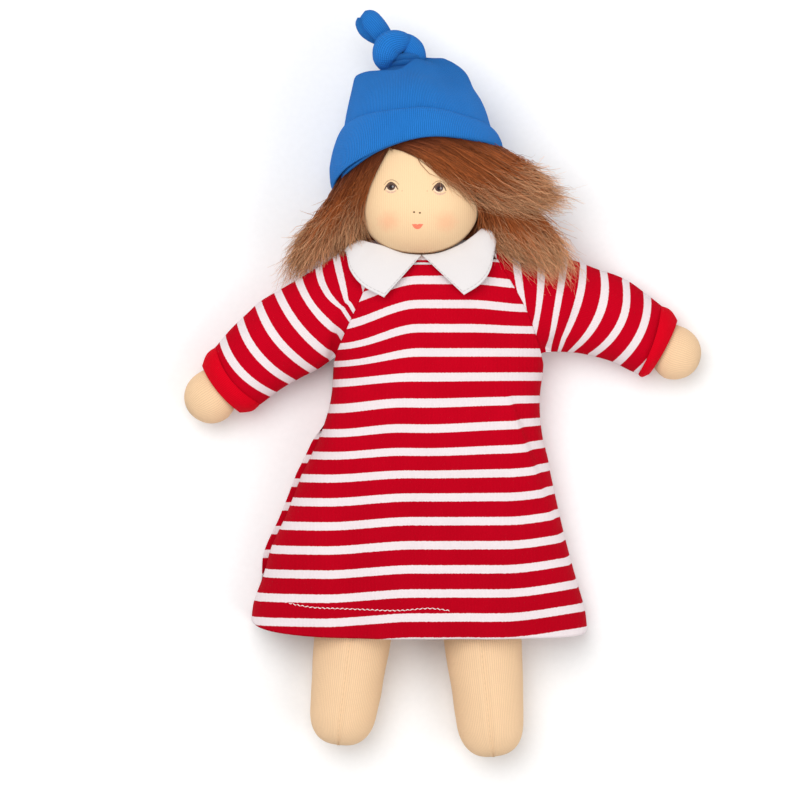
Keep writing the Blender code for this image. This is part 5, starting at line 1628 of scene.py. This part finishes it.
def fanLines(name, seed, lift=0.006, wisps=False):
    # strands between guides, layered in height, that gather into locks towards the tips; wisps fly free of them
    random = np.random.default_rng(seed)
    count, clumps = hair["wisps" if wisps else "strands"][name], hair["clumps"][name]
    guides = np.array([[(*overPlan(px, py, z / 1000), z / 1000) for px, py,
                        z in guide] for guide in hair[name]])
    last, keys = len(guides) - 1, guides.shape[1]
    steps = hair["wispSegments" if wisps else "segments"] + 1

    def rowsOf(place):
        return np.stack([np.stack([curveAt(list(enumerate(guides[:, k, axis])),
                                           place) for axis in range(3)],
                                  axis=1) for k in range(keys)], axis=1)

    own = random.random(count) * last
    middle = np.sort(random.random(clumps)) * last
    nearest = np.abs(own[:, None] - middle[None, :]).argmin(axis=1)
    stray = random.random(count) < (0.75 if wisps else 0.20)
    reach = (0.68 + 0.38 * random.random(clumps))[nearest] * (0.72 + 0.32 * random.random(count))
    reach = np.where(stray, 0.62 + 0.46 * random.random(count), reach)
    t = np.linspace(0, 1, steps)[None, :] * reach[:, None]
    lines = through(rowsOf(own), t * (keys - 1))
    centre = through(rowsOf(middle)[nearest], t * (keys - 1))
    pull = 0.72 * smoothStep(0.2, 1.0, t) * np.where(stray, 0.1, 1.0)[:, None]
    lines += (centre - lines) * pull[..., None]
    layer = random.random(count)
    lines[..., 2] += (lift * (layer - 0.75))[:, None] * np.sin(np.clip(t, 0, 1) * np.pi * 0.9 + 0.25)
    lines[..., 2] += (random.normal(size=clumps) * 0.0010)[nearest][:, None] * t
    flat = np.array((1, 1, 0.5))
    grown = np.linspace(0, 1, steps)[None, :, None]
    lines += random.normal(size=(count, 1, 3)) * flat * (0.0006 + 0.0004 * grown + hair["fray"] * grown ** 3)
    wave = random.random((count, 2)) * 2 * np.pi
    beats = (2.0 + 3.5 * random.random((count, 2))) * (1.6 if wisps else 1.0)
    amount = hair["frizz"] * (0.4 + 0.9 * random.random(count))[:, None] * grown[..., 0] ** (0.7 if wisps else 1.4)
    for axis in range(2):
        lines[..., axis] += amount * np.sin(beats[:, axis:axis + 1] * 2 * np.pi * t + wave[:,
                                                                                           axis:axis + 1])
    # painted shade: strands low in the layers, and those along the face's edge near the first guide, get darker tones;
    # each clump also differs in tone at random
    toneAndShade = (random.normal(size=clumps) * 0.19)[nearest] - 0.22 * np.exp(-own / 0.35)
    tones = np.clip(0.30 + 0.40 * layer + toneAndShade + random.normal(size=count) * 0.13, 0, 1)
    sizes = hair["wispRadius" if wisps else "radius"] * (0.7 + 0.6 * random.random(count))
    return lines, sizes, tones


def makeLock(name, fans):
    for wisps in (False, True):
        made = [fanLines(fan, 11 + k + 40 * wisps, wisps=wisps) for k, fan in enumerate(fans)]
        lines, sizes, tones = (np.concatenate(parts) for parts in zip(*made))
        lines = pushOut(lines, 0.0012)
        lines[..., 2] = np.maximum(lines[..., 2], 0.0006)
        lock = strandMesh("hair" + name.title() + ("Wisps" if wisps else ""), lines, sizes, tones, hairWool)
        if not wisps:
            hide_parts("hair_" + name)
        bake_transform(lock)


def makeHairBase():
    # the hair under the hat and at the back of the head: short strands close to the skin
    random = np.random.default_rng(21)
    count = 3600
    steps = 7
    t = np.linspace(0, 1, steps)[None, :]
    turn = random.random(count) * 2 * np.pi
    brim = (brimEdge(turn) - 0.001) / (head["height"] / 2)
    last = np.arccos(np.sign(brim) * np.abs(brim) ** (head["power"] / 2))[:, None]
    tilt = last * (0.85 * random.random((count, 1)) ** 2 * (1 - t) + t)
    grow = 0.0012 + 0.0022 * random.random(count)[:, None]
    half = (head["width"] / 2 + grow) * np.sin(tilt) ** (2 / head["power"])
    y = head["y"] + (head["height"] / 2 + grow) * np.sign(np.cos(tilt)) * np.abs(np.cos(tilt)) ** (2 / head["power"])
    angle = turn[:, None] + (random.normal(size=(count, 1)) * 0.06) * t
    lines = np.stack([head["x"] + half * np.cos(angle), y, head["z"] + half * (head["depth"] / head["width"])
                      * np.sin(angle)], axis=2)
    # painted shade: the cap takes low tones and only the root end of the wool's colours, dark under the hat
    cap = strandMesh("hairCap", lines, np.full(count, 0.00035), random.random(count) * 0.5, hairWool, 0.4)
    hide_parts("hair_cap")
    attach(cap, "head")
    turn = np.radians(192 + 156 * random.random(count))
    high = head["y"] + brimEdge(turn) + 0.006
    low = head["y"] - head["height"] * (0.36 + 0.06 * random.random(count))
    y = high[:, None] * (1 - t) + low[:, None] * t
    grow = 0.0010 + 0.0026 * random.random(count)[:, None]
    half = headHalfWidth(y, grow)
    angle = turn[:, None] + (random.normal(size=(count, 1)) * 0.08) * t
    lines = np.stack([head["x"] + half * np.cos(angle), y,
                      np.maximum(head["z"] + half * (head["depth"] / head["width"]) * np.sin(angle),
                                 0.0008)], axis=2)
    back = strandMesh("hairBack", lines, np.full(count, 0.00035), 0.15 + random.random(count) * 0.7,
                      hairWool,
                      0.7)
    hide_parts("hair_back")
    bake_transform(back)


makeLock("left", ("left",))
makeLock("right", ("rightOver", "rightUnder"))
makeHairBase()
print("hair made")


# Studio: white paper, a broad soft light overhead and a weaker one from the upper right
studio = {"paper": (0.93, 0.93, 0.93), "world": 0.60, "key": 16.0, "fill": 5.0}


def makeStudio():
    mesh = bpy.data.meshes.new("paper")
    reach = 3.0
    mesh.from_pydata([(-reach, -reach, 0), (reach, -reach, 0), (reach, reach, 0), (-reach, reach, 0)], [],
                     [(0, 1, 2, 3)])
    finish, n, shader = newFinish("paper", Roughness=0.9, Specular_IOR_Level=0.0)
    place = n.add("ShaderNodeTexCoord").outputs["Object"]
    grain = n.remap(n.noise(place, 300.0, 2.0), 0.3, 0.7, 0.985, 1.0)
    n.put(shader.inputs["Base Color"], n.mix(1.0, (*studio["paper"], 1), n.join(grain, grain, grain),
                                             "MULTIPLY"))
    mesh.materials.append(finish)
    paper = bpy.data.objects.new("paper", mesh)
    paper.location.z = -0.0002
    bpy.context.scene.collection.objects.link(paper)
    world = bpy.data.worlds.new("studio")
    bpy.context.scene.world = world
    world.use_nodes = True
    back = world.node_tree.nodes["Background"]
    back.inputs["Color"].default_value = (1, 1, 1, 1)
    back.inputs["Strength"].default_value = studio["world"]
    for label, place, size, power in (("overhead", (-0.35, 0.45, 1.5), 1.3, studio["key"]),
                                      ("fill", (0.9, -0.5, 1.1), 1.0, studio["fill"])):
        lamp = bpy.data.lights.new(label, "AREA")
        lamp.shape = "DISK"
        lamp.size = size
        lamp.energy = power
        made = bpy.data.objects.new(label, lamp)
        made.location = place
        made.rotation_euler = (Vector((0, 0, 0)) - Vector(place)).to_track_quat("-Z", "Y").to_euler()
        bpy.context.scene.collection.objects.link(made)
    lens = bpy.data.cameras.new("camera")
    lens.sensor_width = 36.0
    lens.lens = 36.0 * (view["height"] - view["plane"]) / view["frameWidth"]
    lens.clip_end = 20
    made = bpy.data.objects.new("camera", lens)
    made.location = (view["x"], view["y"], view["height"])
    bpy.context.scene.collection.objects.link(made)
    bpy.context.scene.camera = made
    bpy.context.scene.view_settings.view_transform = "Standard"


makeStudio()
print("studio made")
